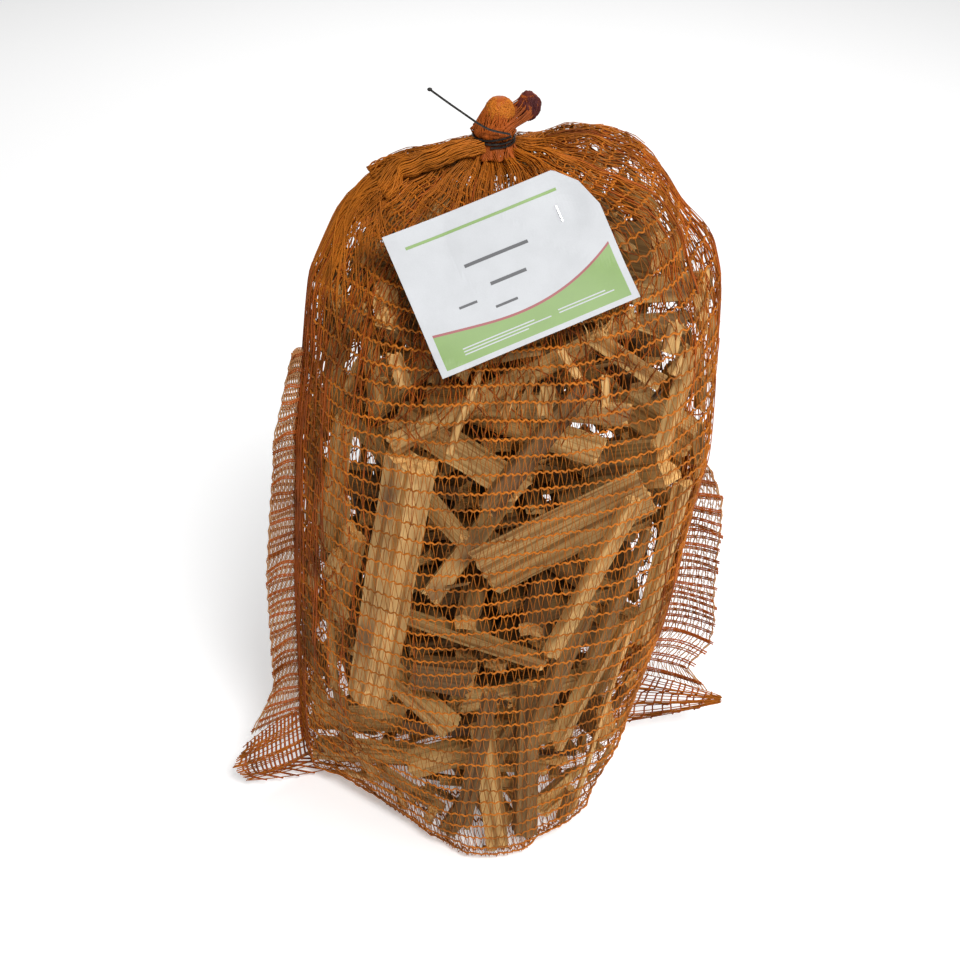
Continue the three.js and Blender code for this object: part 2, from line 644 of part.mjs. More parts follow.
// A round tube along a smooth curve through points
function tubeGeometry(points, radius, sides, steps) {
  const section = new THREE.Shape();
  for (let i = 0; i < sides; i += 1) {
    const turn = (2 * Math.PI * i) / sides;
    const corner = [radius * Math.cos(turn), radius * Math.sin(turn)];
    if (i === 0) section.moveTo(...corner);
    else section.lineTo(...corner);
  }
  section.closePath();
  const path = new THREE.CatmullRomCurve3(points);
  const options = { steps, extrudePath: path, bevelEnabled: false };
  return closedGeometry(new THREE.ExtrudeGeometry(section, options));
}

// The net drawn together like a rope from the left shoulder to the neck, lying on the front panel
function shoulderGather(planes) {
  const origin = new THREE.Vector3(0, 0, DOME_START);
  const points = SHOULDER_ROPE.map(([x, y, z]) => {
    const ray = new THREE.Vector3(x, y, z).sub(origin).normalize();
    const distance = netDistance(planes, origin, ray) + SHOULDER_RADIUS + GAP;
    return origin.clone().addScaledVector(ray, distance);
  });
  const geometry = tubeGeometry(points, SHOULDER_RADIUS, ROPE_MESH.sides, ROPE_MESH.steps);
  const mesh = new THREE.Mesh(geometry, standardMaterial(COLOURS.netLayered, 0.75));
  mesh.name = 'net_shoulder_gather';
  return mesh;
}

// The gathered neck: a turned shape whose folds are pressed in by the tie
function neckGather() {
  const { radius, waist, waistHeight, top } = NECK;
  const { count, depth, lip, roll, tieHalf } = NECK_FOLDS;
  const profile = [
    new THREE.Vector2(0, 0),
    new THREE.Vector2(radius, 0),
    new THREE.Vector2(waist, waistHeight - tieHalf),
    new THREE.Vector2(waist, waistHeight + tieHalf),
    new THREE.Vector2(waist + lip, top - roll),
    new THREE.Vector2(waist + roll, top),
    new THREE.Vector2(0, top),
  ];
  const geometry = closedGeometry(new THREE.LatheGeometry(profile, NECK_SIDES));
  const position = geometry.attributes.position;
  for (let i = 0; i < position.count; i += 1) {
    const turn = Math.atan2(position.getZ(i), position.getX(i));
    const fold = 1 - depth * (1 + Math.cos(count * turn));
    position.setX(i, position.getX(i) * fold);
    position.setZ(i, position.getZ(i) * fold);
  }
  geometry.rotateX(Math.PI / 2);
  const mesh = new THREE.Mesh(geometry, standardMaterial(COLOURS.netLayered, 0.75));
  mesh.name = 'net_neck_gather';
  mesh.position.set(NECK.x, NECK.y, NECK.z + NECK.clear);
  return mesh;
}

// One lobe of the tuft above the tie: an uneven rounded lump
function tuftLobe({ name, at, size, lean, colour }) {
  const geometry = closedGeometry(new THREE.SphereGeometry(1, LOBE_MESH.sides, LOBE_MESH.rings));
  const position = geometry.attributes.position;
  for (let i = 0; i < position.count; i += 1) {
    const point = new THREE.Vector3().fromBufferAttribute(position, i);
    const turn = Math.atan2(point.y, point.x);
    const wave = Math.cos(TUFT_FOLDS.count * turn + TUFT_FOLDS.twist * point.z);
    const lump = 1 - TUFT_FOLDS.depth * (1 + wave);
    position.setXYZ(i, point.x * size[0] * lump, point.y * size[1] * lump, point.z * size[2]);
  }
  const mesh = new THREE.Mesh(geometry, standardMaterial(colour, 0.75));
  mesh.name = name;
  mesh.position.set(...at);
  mesh.rotation.y = THREE.MathUtils.degToRad(lean);
  return mesh;
}

// The tie: turns of wire round the waist of the neck, then a straight end
function tieWire() {
  const { turns, pitch, clear, end } = TIE;
  const radius = NECK.waist + clear;
  const points = [];
  for (let i = 0; i <= turns * WIRE_STEPS_PER_TURN; i += 1) {
    const turn = TIE.start + (2 * Math.PI * i) / WIRE_STEPS_PER_TURN;
    const rise = NECK.waistHeight + pitch * (i / WIRE_STEPS_PER_TURN - turns / 2);
    points.push(new THREE.Vector3(radius * Math.cos(turn), radius * Math.sin(turn), rise));
  }
  for (const point of end) points.push(new THREE.Vector3(...point));
  const geometry = tubeGeometry(points, WIRE_RADIUS, TIE.sides, TIE.steps);
  const mesh = new THREE.Mesh(geometry, standardMaterial(COLOURS.wire, 0.45, 0.8));
  mesh.name = 'tie_wire';
  mesh.position.set(NECK.x, NECK.y, NECK.z + NECK.clear);
  return mesh;
}

// The paper tag's outline, with one corner cut away
function tagShape() {
  const { width, height, corner } = TAG;
  return new THREE.Shape([
    new THREE.Vector2(-width / 2, -height / 2),
    new THREE.Vector2(0, -height / 2),
    new THREE.Vector2(width / 2, -height / 2),
    new THREE.Vector2(width / 2, height / 2 - corner * CUT.side),
    new THREE.Vector2(width / 2 - corner * CUT.midAcross, height / 2 - corner * CUT.midDown),
    new THREE.Vector2(width / 2 - corner, height / 2),
    new THREE.Vector2(0, height / 2),
    new THREE.Vector2(-width / 2, height / 2),
  ]);
}

// The tag and its staple, laid on the sloping upper front just clear of the net
function tagGroup(panel) {
  const group = new THREE.Group();
  const lean = THREE.MathUtils.degToRad(TAG.lean);
  const swing = THREE.MathUtils.degToRad(TAG.swing);
  const normal = new THREE.Vector3(
    Math.sin(swing) * Math.cos(lean), -Math.cos(swing) * Math.cos(lean), Math.sin(lean));
  const level = new THREE.Vector3(0, 0, 1).cross(normal).normalize();
  level.applyAxisAngle(normal, THREE.MathUtils.degToRad(TAG.turn));
  const upward = new THREE.Vector3().crossVectors(normal, level);
  const middle = new THREE.Vector3(TAG.x, TAG.y, TAG.z);
  const position = panel.geometry.attributes.position;
  let highest = -Infinity;
  for (let i = 0; i < position.count; i += 1) {
    const point = new THREE.Vector3().fromBufferAttribute(position, i).sub(middle);
    const beside = Math.abs(point.dot(level)) < TAG.width * TAG_MARGIN.across;
    const along = Math.abs(point.dot(upward)) < TAG.height * TAG_MARGIN.up;
    if (beside && along) highest = Math.max(highest, point.dot(normal));
  }
  middle.addScaledVector(normal, highest + GAP);
  group.position.copy(middle);
  group.quaternion.setFromRotationMatrix(new THREE.Matrix4().makeBasis(level, upward, normal));
  const paper = new THREE.ExtrudeGeometry(tagShape(), { depth: TAG.thickness, bevelEnabled: false });
  const tag = new THREE.Mesh(closedGeometry(paper), standardMaterial(COLOURS.paper, 0.6));
  tag.name = 'paper_tag';
  const wire = new THREE.BoxGeometry(STAPLE.width, STAPLE.length, STAPLE.thickness);
  const staple = new THREE.Mesh(closedGeometry(wire), standardMaterial(COLOURS.steel, 0.35, 1));
  staple.name = 'tag_staple';
  staple.position.set(
    TAG.width / 2 - STAPLE.fromRight,
    TAG.height / 2 - STAPLE.fromTop,
    TAG.thickness + GAP + STAPLE.thickness / 2,
  );
  group.add(tag, staple);
  return group;
}

const boxes = [...frontStickBoxes(), ...roundStickBoxes()];
settle(boxes);
const planes = netPlanes(boxes);
const edges = boxes.flatMap(edgePoints);
const frontGrids = panelGrids(planes, edges, -1);
const frontPanel = netPanel(frontGrids, 'net_front_panel');
const backGrids = panelGrids(planes, edges, 1);
const backPanel = netPanel(backGrids, 'net_back_panel');

const sack = new THREE.Group();
boxes.forEach((box, index) => sack.add(stickMesh(box, index)));
sack.add(frontPanel, backPanel);
sack.add(seamFlange(frontGrids, backGrids, -1, 'net_left_seam'));
sack.add(seamFlange(frontGrids, backGrids, 1, 'net_right_seam'));
sack.add(shoulderGather(planes), neckGather());
for (const lobe of TUFT_LOBES) sack.add(tuftLobe(lobe));
sack.add(tieWire(), tagGroup(frontPanel));

// The origin is the middle of the box that the whole sack fills, on the ground
const bounds = new THREE.Box3().setFromObject(sack);
const centre = bounds.getCenter(new THREE.Vector3());
sack.position.set(-centre.x, -centre.y, -bounds.min.z);

export default sack;
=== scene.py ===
import math

import bpy
import numpy as np
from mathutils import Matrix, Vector
from mathutils.bvhtree import BVHTree


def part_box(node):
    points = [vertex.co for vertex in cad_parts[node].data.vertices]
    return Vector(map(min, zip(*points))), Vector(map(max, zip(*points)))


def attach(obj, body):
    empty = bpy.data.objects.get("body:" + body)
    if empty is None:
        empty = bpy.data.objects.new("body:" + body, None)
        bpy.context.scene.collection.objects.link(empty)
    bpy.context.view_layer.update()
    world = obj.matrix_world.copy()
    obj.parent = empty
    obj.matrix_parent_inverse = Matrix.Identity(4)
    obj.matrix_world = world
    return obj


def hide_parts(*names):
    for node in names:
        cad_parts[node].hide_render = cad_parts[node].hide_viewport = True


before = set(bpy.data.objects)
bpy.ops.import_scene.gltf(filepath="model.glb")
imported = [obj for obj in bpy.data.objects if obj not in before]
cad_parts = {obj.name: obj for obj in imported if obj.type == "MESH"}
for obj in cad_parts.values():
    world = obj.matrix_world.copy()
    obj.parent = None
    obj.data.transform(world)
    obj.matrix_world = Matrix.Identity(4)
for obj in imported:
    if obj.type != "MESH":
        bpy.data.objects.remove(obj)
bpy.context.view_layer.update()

bl_info = {
    "name": "Net sack of kindling",
    "version": (1, 0, 0),
    "blender": (4, 5, 0),
    "location": "3D View > Sidebar > Kindling sack",
    "description": "Builds the knitted net, the split sticks, the tie and the tag round the sack's frame",
    "category": "Object",
}

# ---------------------------------------------------------------------------
# Settings

DOME_START = 0.372  # height where the net turns over into the shoulders
FLOOR_LIFT = 0.0015  # the threads under the base lie just above the ground
THREAD_INSET = -0.0006  # how far inside the panel's inner face the threads run
FRONT_DEPTH = 0.020  # at the front the filling starts this far behind the net, behind the outer sticks
CORE_LAYER = 0.0175  # height of a layer of sticks in the sack's middle
CORE_LANE = 0.0225  # distance between neighbouring sticks of a layer
FOLDED_SHOULDER = (0.66, 0.93)  # shares of the way up the skin where folds of net start, under the shoulders
FOLDED_SIDE = (0.10, 0.66)  # and along the sides
# Where loose sticks are tried: lowest and highest middle, spread of the slope (shoulders, foot, anywhere)
LOOSE_ZONES = ((0.385, 0.496, 0.35), (0.008, 0.040, 0.06), (0.006, 0.496, 0.35))
LOOSE_TRIES = 27000  # places tried for the loose sticks and chips
WALL_TRIES = 18000  # places tried for the sticks that lie against the net
OPEN_FRONT = 0.62  # where the net faces the front more than this, only the outer sticks lie against it
OPEN_HEIGHTS = (0.036, 0.372)  # the heights between which that holds
LEAST_STICK_SPACE = 0.0012  # threads pass the sticks at least this far out
EAR_HEIGHT = {-1: 0.058, 1: 0.062}  # where each ear starts below its flange, by side
# The turn at which each quarter of the net starts, in half turns
QUARTERS = {"front_left": 1.0, "front_right": 1.5, "back_right": 0.0, "back_left": 0.5}
BOX_CORNERS = np.array([[a, b, c] for a in (-1, 1) for b in (-1, 1) for c in (-1, 1)])
FORWARD = np.array([0.0, -1.0, 0.0])  # towards the front of the sack
STICK_GAP = 0.0004  # least distance between the boxes of two filling sticks
SKIN_SPACE = 0.0018  # least distance from a filling stick's box to the skin
CORE_HEIGHTS = (0.0125, 0.482)  # lowest and highest layer of sticks in the sack's middle
CORE_REACHES = (0.092, 0.070, 0.050, 0.034, 0.024, 0.015)  # half lengths that such a stick is tried at
CORE_SHIFTS = (0.0, 0.03, -0.03, 0.06, -0.06, 0.09, -0.09)  # and places along its lane
WALL_DEPTHS = (0.0015, 0.004, 0.008, 0.014, 0.021)  # distances behind the net that a stick is tried at
FILLING_PIECES = 10  # the filling sticks are shared out over this many pieces
FILLING_POINTS = 10  # points round a filling stick's section
STEPS_PER_WAVE = 4  # points along each wave of a chain
SEWN_GAP = 0.0009  # each sewn layer of a flange lies this far from its middle
SIDE_THREADS = 200  # slack threads along each side
BESIDE_FLANGE = 90  # how many of them are gathered along the flange
FOLDED_THREADS = 900  # threads of the net that is folded inwards
UNDER_SHOULDERS = 700  # how many of them lie under the shoulders


class NetSettings(bpy.types.PropertyGroup):
    row_spacing: bpy.props.FloatProperty(
        name="Row spacing", description="Distance between the wavy chains", default=0.0116, unit="LENGTH")
    waves: bpy.props.IntProperty(
        name="Waves", description="Waves of each chain round the whole sack", default=150, min=40)
    wave_height: bpy.props.FloatProperty(
        name="Wave height", description="Half height of a chain's wave", default=0.00085, unit="LENGTH")
    chain_radius: bpy.props.FloatProperty(
        name="Chain radius", description="Half thickness of a chain", default=0.00070, unit="LENGTH")
    filament_radius: bpy.props.FloatProperty(
        name="Filament radius", description="Half thickness of a thin filament", default=0.00029,
        unit="LENGTH")
    filaments: bpy.props.IntProperty(
        name="Filaments", description="Filaments between two chains, round the whole sack", default=272,
        min=60)
    crowding: bpy.props.FloatProperty(
        name="Crowding", description="How much closer the chains lie beside the neck", default=0.52,
        subtype="FACTOR")
    sag: bpy.props.FloatProperty(
        name="Sag", description="How far the net sinks between the sticks that hold it out",
        default=0.0038, unit="LENGTH")
    colour: bpy.props.FloatVectorProperty(
        name="Net colour", description="Orange of a single layer", default=(0.50, 0.150, 0.010), size=3,
        subtype="COLOR")
    layered: bpy.props.FloatVectorProperty(
        name="Layered colour", description="Rust of the gathers and seams", default=(0.40, 0.088, 0.008),
        size=3, subtype="COLOR")


class KindlingSettings(bpy.types.PropertyGroup):
    around: bpy.props.IntProperty(
        name="Points around", description="Points round a stick's section", default=20, min=8)
    span: bpy.props.FloatProperty(
        name="Span", description="Distance between a stick's rings", default=0.012, unit="LENGTH")
    relief: bpy.props.FloatProperty(
        name="Relief", description="Depth of the torn fibres along a stick", default=0.00075, unit="LENGTH")
    torn: bpy.props.FloatProperty(
        name="Torn ends", description="How far the fibres of an end stand apart", default=0.0022,
        unit="LENGTH")
    filling: bpy.props.IntProperty(
        name="Filling sticks", description="Sticks that fill the sack behind the outer ones", default=600,
        min=0)
    pale: bpy.props.FloatVectorProperty(
        name="Pale wood", description="Pale early wood", default=(0.78, 0.51, 0.20), size=3, subtype="COLOR")
    dark: bpy.props.FloatVectorProperty(
        name="Dark wood", description="Darker late wood", default=(0.36, 0.185, 0.045), size=3,
        subtype="COLOR")
    bark: bpy.props.FloatVectorProperty(
        name="Weathered wood", description="Grey brown of old or bark-side faces",
        default=(0.17, 0.085, 0.035), size=3, subtype="COLOR")


class TagSettings(bpy.types.PropertyGroup):
    paper: bpy.props.FloatVectorProperty(
        name="Paper", description="Paper colour", default=(0.475, 0.487, 0.505), size=3, subtype="COLOR")
    band: bpy.props.FloatVectorProperty(
        name="Band", description="Green band along the foot", default=(0.15, 0.27, 0.042), size=3,
        subtype="COLOR")
    line: bpy.props.FloatVectorProperty(
        name="Line", description="Dark red line over the band", default=(0.25, 0.02, 0.02), size=3,
        subtype="COLOR")
    curl: bpy.props.FloatProperty(
        name="Curl", description="How far the tag bends away at its right edge", default=0.006, unit="LENGTH")


# ---------------------------------------------------------------------------
# Small helpers

def smoothstep(low, high, value):
    share = np.clip((value - low) / (high - low), 0.0, 1.0)
    return share * share * (3 - 2 * share)


def ripple(seed, *coordinates):
    """A smooth repeatable wave field between about -1 and 1, of any coordinates of the same shape."""
    random = np.random.default_rng(seed)
    total = 0.0
    for _ in range(5):
        phase = random.uniform(0, 2 * math.pi)
        for values in coordinates:
            phase = phase + values * random.normal(0, 1.6)
        total = total + np.sin(phase)
    return total / 3.2


def unit(vectors):
    length = np.linalg.norm(vectors, axis=-1, keepdims=True)
    return vectors / np.maximum(length, 1e-12)


def linked(name, data):
    """A new object in the scene."""
    piece = bpy.data.objects.new(name, data)
    bpy.context.scene.collection.objects.link(piece)
    return piece


def finish_piece(piece, *nodes, slot):
    """The piece rides on the sack and stands for its solids, which are hidden; slot is not used."""
    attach(piece, "root")
    if nodes:
        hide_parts(*nodes)
    return piece


def mesh_piece(name, points, triangles, materials, indices=None, uv=None, floats=None, smooth=True):
    """An object from arrays of points and triangles, with material numbers, a map and point values."""
    mesh = bpy.data.meshes.new(name)
    count = len(triangles)
    mesh.vertices.add(len(points))
    mesh.vertices.foreach_set("co", np.asarray(points, dtype=np.float32).ravel())
    mesh.loops.add(count * 3)
    mesh.loops.foreach_set("vertex_index", np.asarray(triangles, dtype=np.int32).ravel())
    mesh.polygons.add(count)
    mesh.polygons.foreach_set("loop_start", np.arange(0, count * 3, 3, dtype=np.int32))
    mesh.polygons.foreach_set("use_smooth", np.full(count, smooth))
    for material in materials:
        mesh.materials.append(material)
    if indices is not None:
        mesh.polygons.foreach_set("material_index", np.asarray(indices, dtype=np.int32))
    if uv is not None:
        layer = mesh.uv_layers.new(name="Grain")
        layer.data.foreach_set("uv", np.asarray(uv, dtype=np.float32).ravel())
    for key, values in (floats or {}).items():
        attribute = mesh.attributes.new(key, "FLOAT", "POINT")
        attribute.data.foreach_set("value", np.asarray(values, dtype=np.float32))
    mesh.update(calc_edges=True)
    mesh.validate()
    return linked(name, mesh)


def tube_walls(number):
    """Triangles between neighbouring rings, from the points' numbers (..., ring, place round it)."""
    here, there = number[..., :-1, :], number[..., 1:, :]
    here_next, there_next = np.roll(here, -1, axis=-1), np.roll(there, -1, axis=-1)
    return np.concatenate([
        np.stack([here, here_next, there_next], -1).reshape(-1, 3),
        np.stack([here, there_next, there], -1).reshape(-1, 3)])


def thread_mesh(centres, radii, outward, sides=4):
    """Closed threads of equal numbers of points: centres (threads, points, 3), radii and outward normals."""
    threads, count, _ = centres.shape
    along = unit(np.gradient(centres, axis=1))
    across = unit(np.cross(along, outward))
    normal = np.cross(across, along)
    turns = 2 * math.pi * np.arange(sides) / sides
    side = np.cross(along, normal)
    ring = np.cos(turns)[:, None] * normal[:, :, None, :] + np.sin(turns)[:, None] * side[:, :, None, :]
    points = centres[:, :, None, :] + radii[:, :, None, None] * ring
    number = np.arange(threads * count * sides).reshape(threads, count, sides)
    caps = []
    for k in range(1, sides - 1):
        first, last = number[:, 0], number[:, -1]
        caps.append(np.stack([first[:, 0], first[:, k + 1], first[:, k]], -1))
        caps.append(np.stack([last[:, 0], last[:, k], last[:, k + 1]], -1))
    return points.reshape(-1, 3), np.concatenate([tube_walls(number), *caps])


def skin_threads(lines):
    """Threads from lines of points, each with its outward normals and its radius."""
    centres, outs, radii = zip(*lines)
    radii = np.repeat(np.array(radii)[:, None], len(centres[0]), axis=1)
    return thread_mesh(np.array(centres), radii, np.array(outs), sides=3)


def front_threads(lines, radii, sides):
    """Threads of a flat part of the net that faces the front."""
    return thread_mesh(lines, radii, np.broadcast_to(FORWARD, lines.shape), sides)


def smoothed(line, times):
    """A line of points, softened between its two ends."""
    for _ in range(times):
        line[1:-1] = (line[:-2] + 2 * line[1:-1] + line[2:]) / 4
    return line


def softened(field):
    """Values over the skin, averaged with their neighbours round it and then up it."""
    field = (np.roll(field, 1, axis=1) + 2 * field + np.roll(field, -1, axis=1)) / 4
    return smoothed(field, 1)


def join_arrays(parts):
    """Several (points, triangles) pairs as one."""
    points, triangles, start = [], [], 0
    for some, faces in parts:
        points.append(some)
        triangles.append(faces + start)
        start += len(some)
    return np.concatenate(points), np.concatenate(triangles)


def node_points(node):
    """The corners of a CAD node, each once."""
    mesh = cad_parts[node].data
    flat = np.empty(len(mesh.vertices) * 3)
    mesh.vertices.foreach_get("co", flat)
    return np.unique(np.round(flat.reshape(-1, 3), 6), axis=0)


def node_triangles(nodes):
    points, triangles, start = [], [], 0
    for node in nodes:
        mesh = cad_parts[node].data
        flat = np.empty(len(mesh.vertices) * 3)
        mesh.vertices.foreach_get("co", flat)
        mesh.calc_loop_triangles()
        for triangle in mesh.loop_triangles:
            triangles.append([index + start for index in triangle.vertices])
        points.append(flat.reshape(-1, 3))
        start += len(mesh.vertices)
    return np.concatenate(points), triangles


def tree_of(points, triangles):
    return BVHTree.FromPolygons([Vector(p) for p in points], [list(map(int, t)) for t in triangles])


def box_ends(node):
    """A node's lowest and highest corners."""
    return [np.array(corner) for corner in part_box(node)]


def box_middle(node):
    low, high = box_ends(node)
    return (low + high) / 2


# ---------------------------------------------------------------------------
# Materials

def new_material(name, roughness, metallic=0.0):
    material = bpy.data.materials.new(name)
    material.use_nodes = True
    shader = material.node_tree.nodes["Principled BSDF"]
    shader.inputs["Roughness"].default_value = roughness
    shader.inputs["Metallic"].default_value = metallic
    return material, material.node_tree, shader


def noise_field(tree, vector, scale, detail, roughness=0.55):
    node = tree.nodes.new("ShaderNodeTexNoise")
    node.inputs["Scale"].default_value = scale
    node.inputs["Detail"].default_value = detail
    node.inputs["Roughness"].default_value = roughness
    tree.links.new(vector, node.inputs["Vector"])
    return node.outputs["Fac"]


def ramp(tree, value, stops):
    node = tree.nodes.new("ShaderNodeValToRGB")
    while len(node.color_ramp.elements) < len(stops):
        node.color_ramp.elements.new(0.5)
    for element, (place, colour) in zip(node.color_ramp.elements, stops):
        element.position = place
        element.color = (*colour, 1)
    tree.links.new(value, node.inputs["Fac"])
    return node.outputs["Color"]


def mixed(tree, share, one, two, blend="MIX"):
    node = tree.nodes.new("ShaderNodeMix")
    node.data_type = "RGBA"
    node.blend_type = blend
    for socket, value in ((node.inputs[0], share), (node.inputs[6], one), (node.inputs[7], two)):
        if isinstance(value, bpy.types.NodeSocket):
            tree.links.new(value, socket)
        elif isinstance(value, (int, float)):
            socket.default_value = value
        else:
            socket.default_value = (*value, 1)
    return node.outputs[2]


def stretched(tree, source, scale):
    node = tree.nodes.new("ShaderNodeMapping")
    node.inputs["Scale"].default_value = scale
    tree.links.new(source, node.inputs["Vector"])
    return node.outputs["Vector"]


def bumped(tree, shader, height, strength, distance):
    node = tree.nodes.new("ShaderNodeBump")
    node.inputs["Strength"].default_value = strength
    node.inputs["Distance"].default_value = distance
    tree.links.new(height, node.inputs["Height"])
    tree.links.new(node.outputs["Normal"], shader.inputs["Normal"])


def attribute(tree, name):
    node = tree.nodes.new("ShaderNodeAttribute")
    node.attribute_name = name
    return node.outputs["Fac"]


def shade(colour, factor):
    return tuple(min(1.0, channel * factor) for channel in colour)


def wood_side_material(settings):
    """Split faces: fine fibres and wider growth bands along the stick, each stick with its own tint, whose
    dark end is painted shade on the filling sticks deep in the sack.
    """
    material, tree, shader = new_material("split_wood", 0.78)
    grain = tree.nodes.new("ShaderNodeUVMap")
    grain.uv_map = "Grain"
    fibres = noise_field(tree, stretched(tree, grain.outputs["UV"], (9, 900, 1)), 1.0, 6, 0.62)
    bands = noise_field(tree, stretched(tree, grain.outputs["UV"], (3.5, 190, 1)), 1.0, 3, 0.5)
    blotches = noise_field(tree, stretched(tree, grain.outputs["UV"], (24, 60, 1)), 1.0, 4, 0.6)
    pale, dark, bark = tuple(settings.pale), tuple(settings.dark), tuple(settings.bark)
    band_colour = ramp(tree, bands,
                       [(0.36, dark), (0.47, shade(pale, 0.86)), (0.62, pale), (0.75, shade(pale, 0.78))])
    fibre_colour = ramp(tree, fibres,
                        [(0.33, (0.30, 0.19, 0.10)), (0.43, (0.80, 0.73, 0.62)), (0.60, (1.0, 1.0, 1.0))])
    colour = mixed(tree, 0.80, band_colour, fibre_colour, "MULTIPLY")
    colour = mixed(tree, 0.35, colour,
                   ramp(tree, blotches, [(0.35, (0.55, 0.42, 0.28)), (0.6, (1, 1, 1))]), "MULTIPLY")
    # Tint from dark to pale: the outer sticks' own tone, and at the dark end painted shade on the filling
    # sticks in the middle and behind the front.
    tint = ramp(tree, attribute(tree, "tint"), [(0.0, (0.13, 0.10, 0.075)), (0.3, (0.42, 0.37, 0.31)),
                                                (0.65, (0.84, 0.80, 0.74)), (1.0, (1.12, 1.12, 1.15))])
    colour = mixed(tree, 1.0, colour, tint, "MULTIPLY")
    colour = mixed(tree, attribute(tree, "bark"), colour, bark)
    tree.links.new(colour, shader.inputs["Base Color"])
    bumped(tree, shader, fibres, 0.55, 0.0006)
    return material


def wood_end_material(settings):
    """Cut and torn ends: paler, with fine open fibres and growth rings."""
    material, tree, shader = new_material("wood_end", 0.85)
    place = tree.nodes.new("ShaderNodeTexCoord").outputs["Object"]
    pores = noise_field(tree, place, 900, 4)
    rings = noise_field(tree, stretched(tree, place, (260, 40, 260)), 1.0, 2)
    pale = tuple(settings.pale)
    colour = ramp(tree, rings,
                  [(0.38, shade(pale, 0.72)), (0.5, shade(pale, 1.06)), (0.66, shade(pale, 0.9))])
    colour = mixed(tree, 0.5, colour, ramp(tree, pores, [(0.35, (0.6, 0.5, 0.38)), (0.6, (1, 1, 1))]),
                   "MULTIPLY")
    # The ends take the same tint, so the painted shade on the filling sticks darkens their ends too.
    colour = mixed(tree, 1.0, colour, ramp(tree, attribute(tree, "tint"),
                                           [(0.0, (0.6, 0.5, 0.4)), (1.0, (1.2, 1.12, 1.0))]), "MULTIPLY")
    tree.links.new(colour, shader.inputs["Base Color"])
    bumped(tree, shader, pores, 0.6, 0.0008)
    return material


def net_material(name, colour, deep):
    """Knitted plastic: orange that varies along the thread, with a little gloss."""
    material, tree, shader = new_material(name, 0.55)
    place = tree.nodes.new("ShaderNodeTexCoord").outputs["Object"]
    patches = noise_field(tree, place, 38, 3)
    strands = noise_field(tree, stretched(tree, place, (900, 900, 2400)), 1.0, 2)
    base = ramp(tree, patches, [(0.34, deep), (0.52, colour), (0.72, shade(colour, 1.25))])
    base = mixed(tree, 0.45, base, ramp(tree, strands, [(0.38, (0.55, 0.45, 0.4)), (0.6, (1, 1, 1))]),
                 "MULTIPLY")
    tree.links.new(base, shader.inputs["Base Color"])
    bumped(tree, shader, strands, 0.4, 0.0003)
    shader.inputs["Specular IOR Level"].default_value = 0.22
    return material


def metal_material(name, dark, light, roughness, metallic):
    material, tree, shader = new_material(name, roughness, metallic)
    place = tree.nodes.new("ShaderNodeTexCoord").outputs["Object"]
    marks = noise_field(tree, stretched(tree, place, (300, 300, 1200)), 1.0, 4)
    tree.links.new(ramp(tree, marks, [(0.35, dark), (0.65, light)]), shader.inputs["Base Color"])
    bumped(tree, shader, marks, 0.2, 0.0002)
    return material


def paper_material(name, colour, roughness=0.5):
    material, tree, shader = new_material(name, roughness)
    place = tree.nodes.new("ShaderNodeTexCoord").outputs["Object"]
    pulp = noise_field(tree, place, 60, 5)
    fine = noise_field(tree, place, 1400, 3)
    base = ramp(tree, pulp, [(0.3, shade(colour, 0.93)), (0.6, colour)])
    speckle = ramp(tree, fine, [(0.4, (0.75, 0.75, 0.75)), (0.6, (1, 1, 1))])
    tree.links.new(mixed(tree, 0.12, base, speckle, "MULTIPLY"), shader.inputs["Base Color"])
    bumped(tree, shader, pulp, 0.15, 0.0006)
    return material


def floor_material():
    material, tree, shader = new_material("pale_floor", 0.9)
    place = tree.nodes.new("ShaderNodeTexCoord").outputs["Object"]
    cloudy = noise_field(tree, place, 0.8, 2)
    tree.links.new(ramp(tree, cloudy, [(0.3, (0.91, 0.91, 0.91)), (0.7, (0.93, 0.93, 0.93))]),
                   shader.inputs["Base Color"])
    shader.inputs["Emission Color"].default_value = (1, 1, 1, 1)
    shader.inputs["Emission Strength"].default_value = 0.30
    return material


# ---------------------------------------------------------------------------
# The net's surface

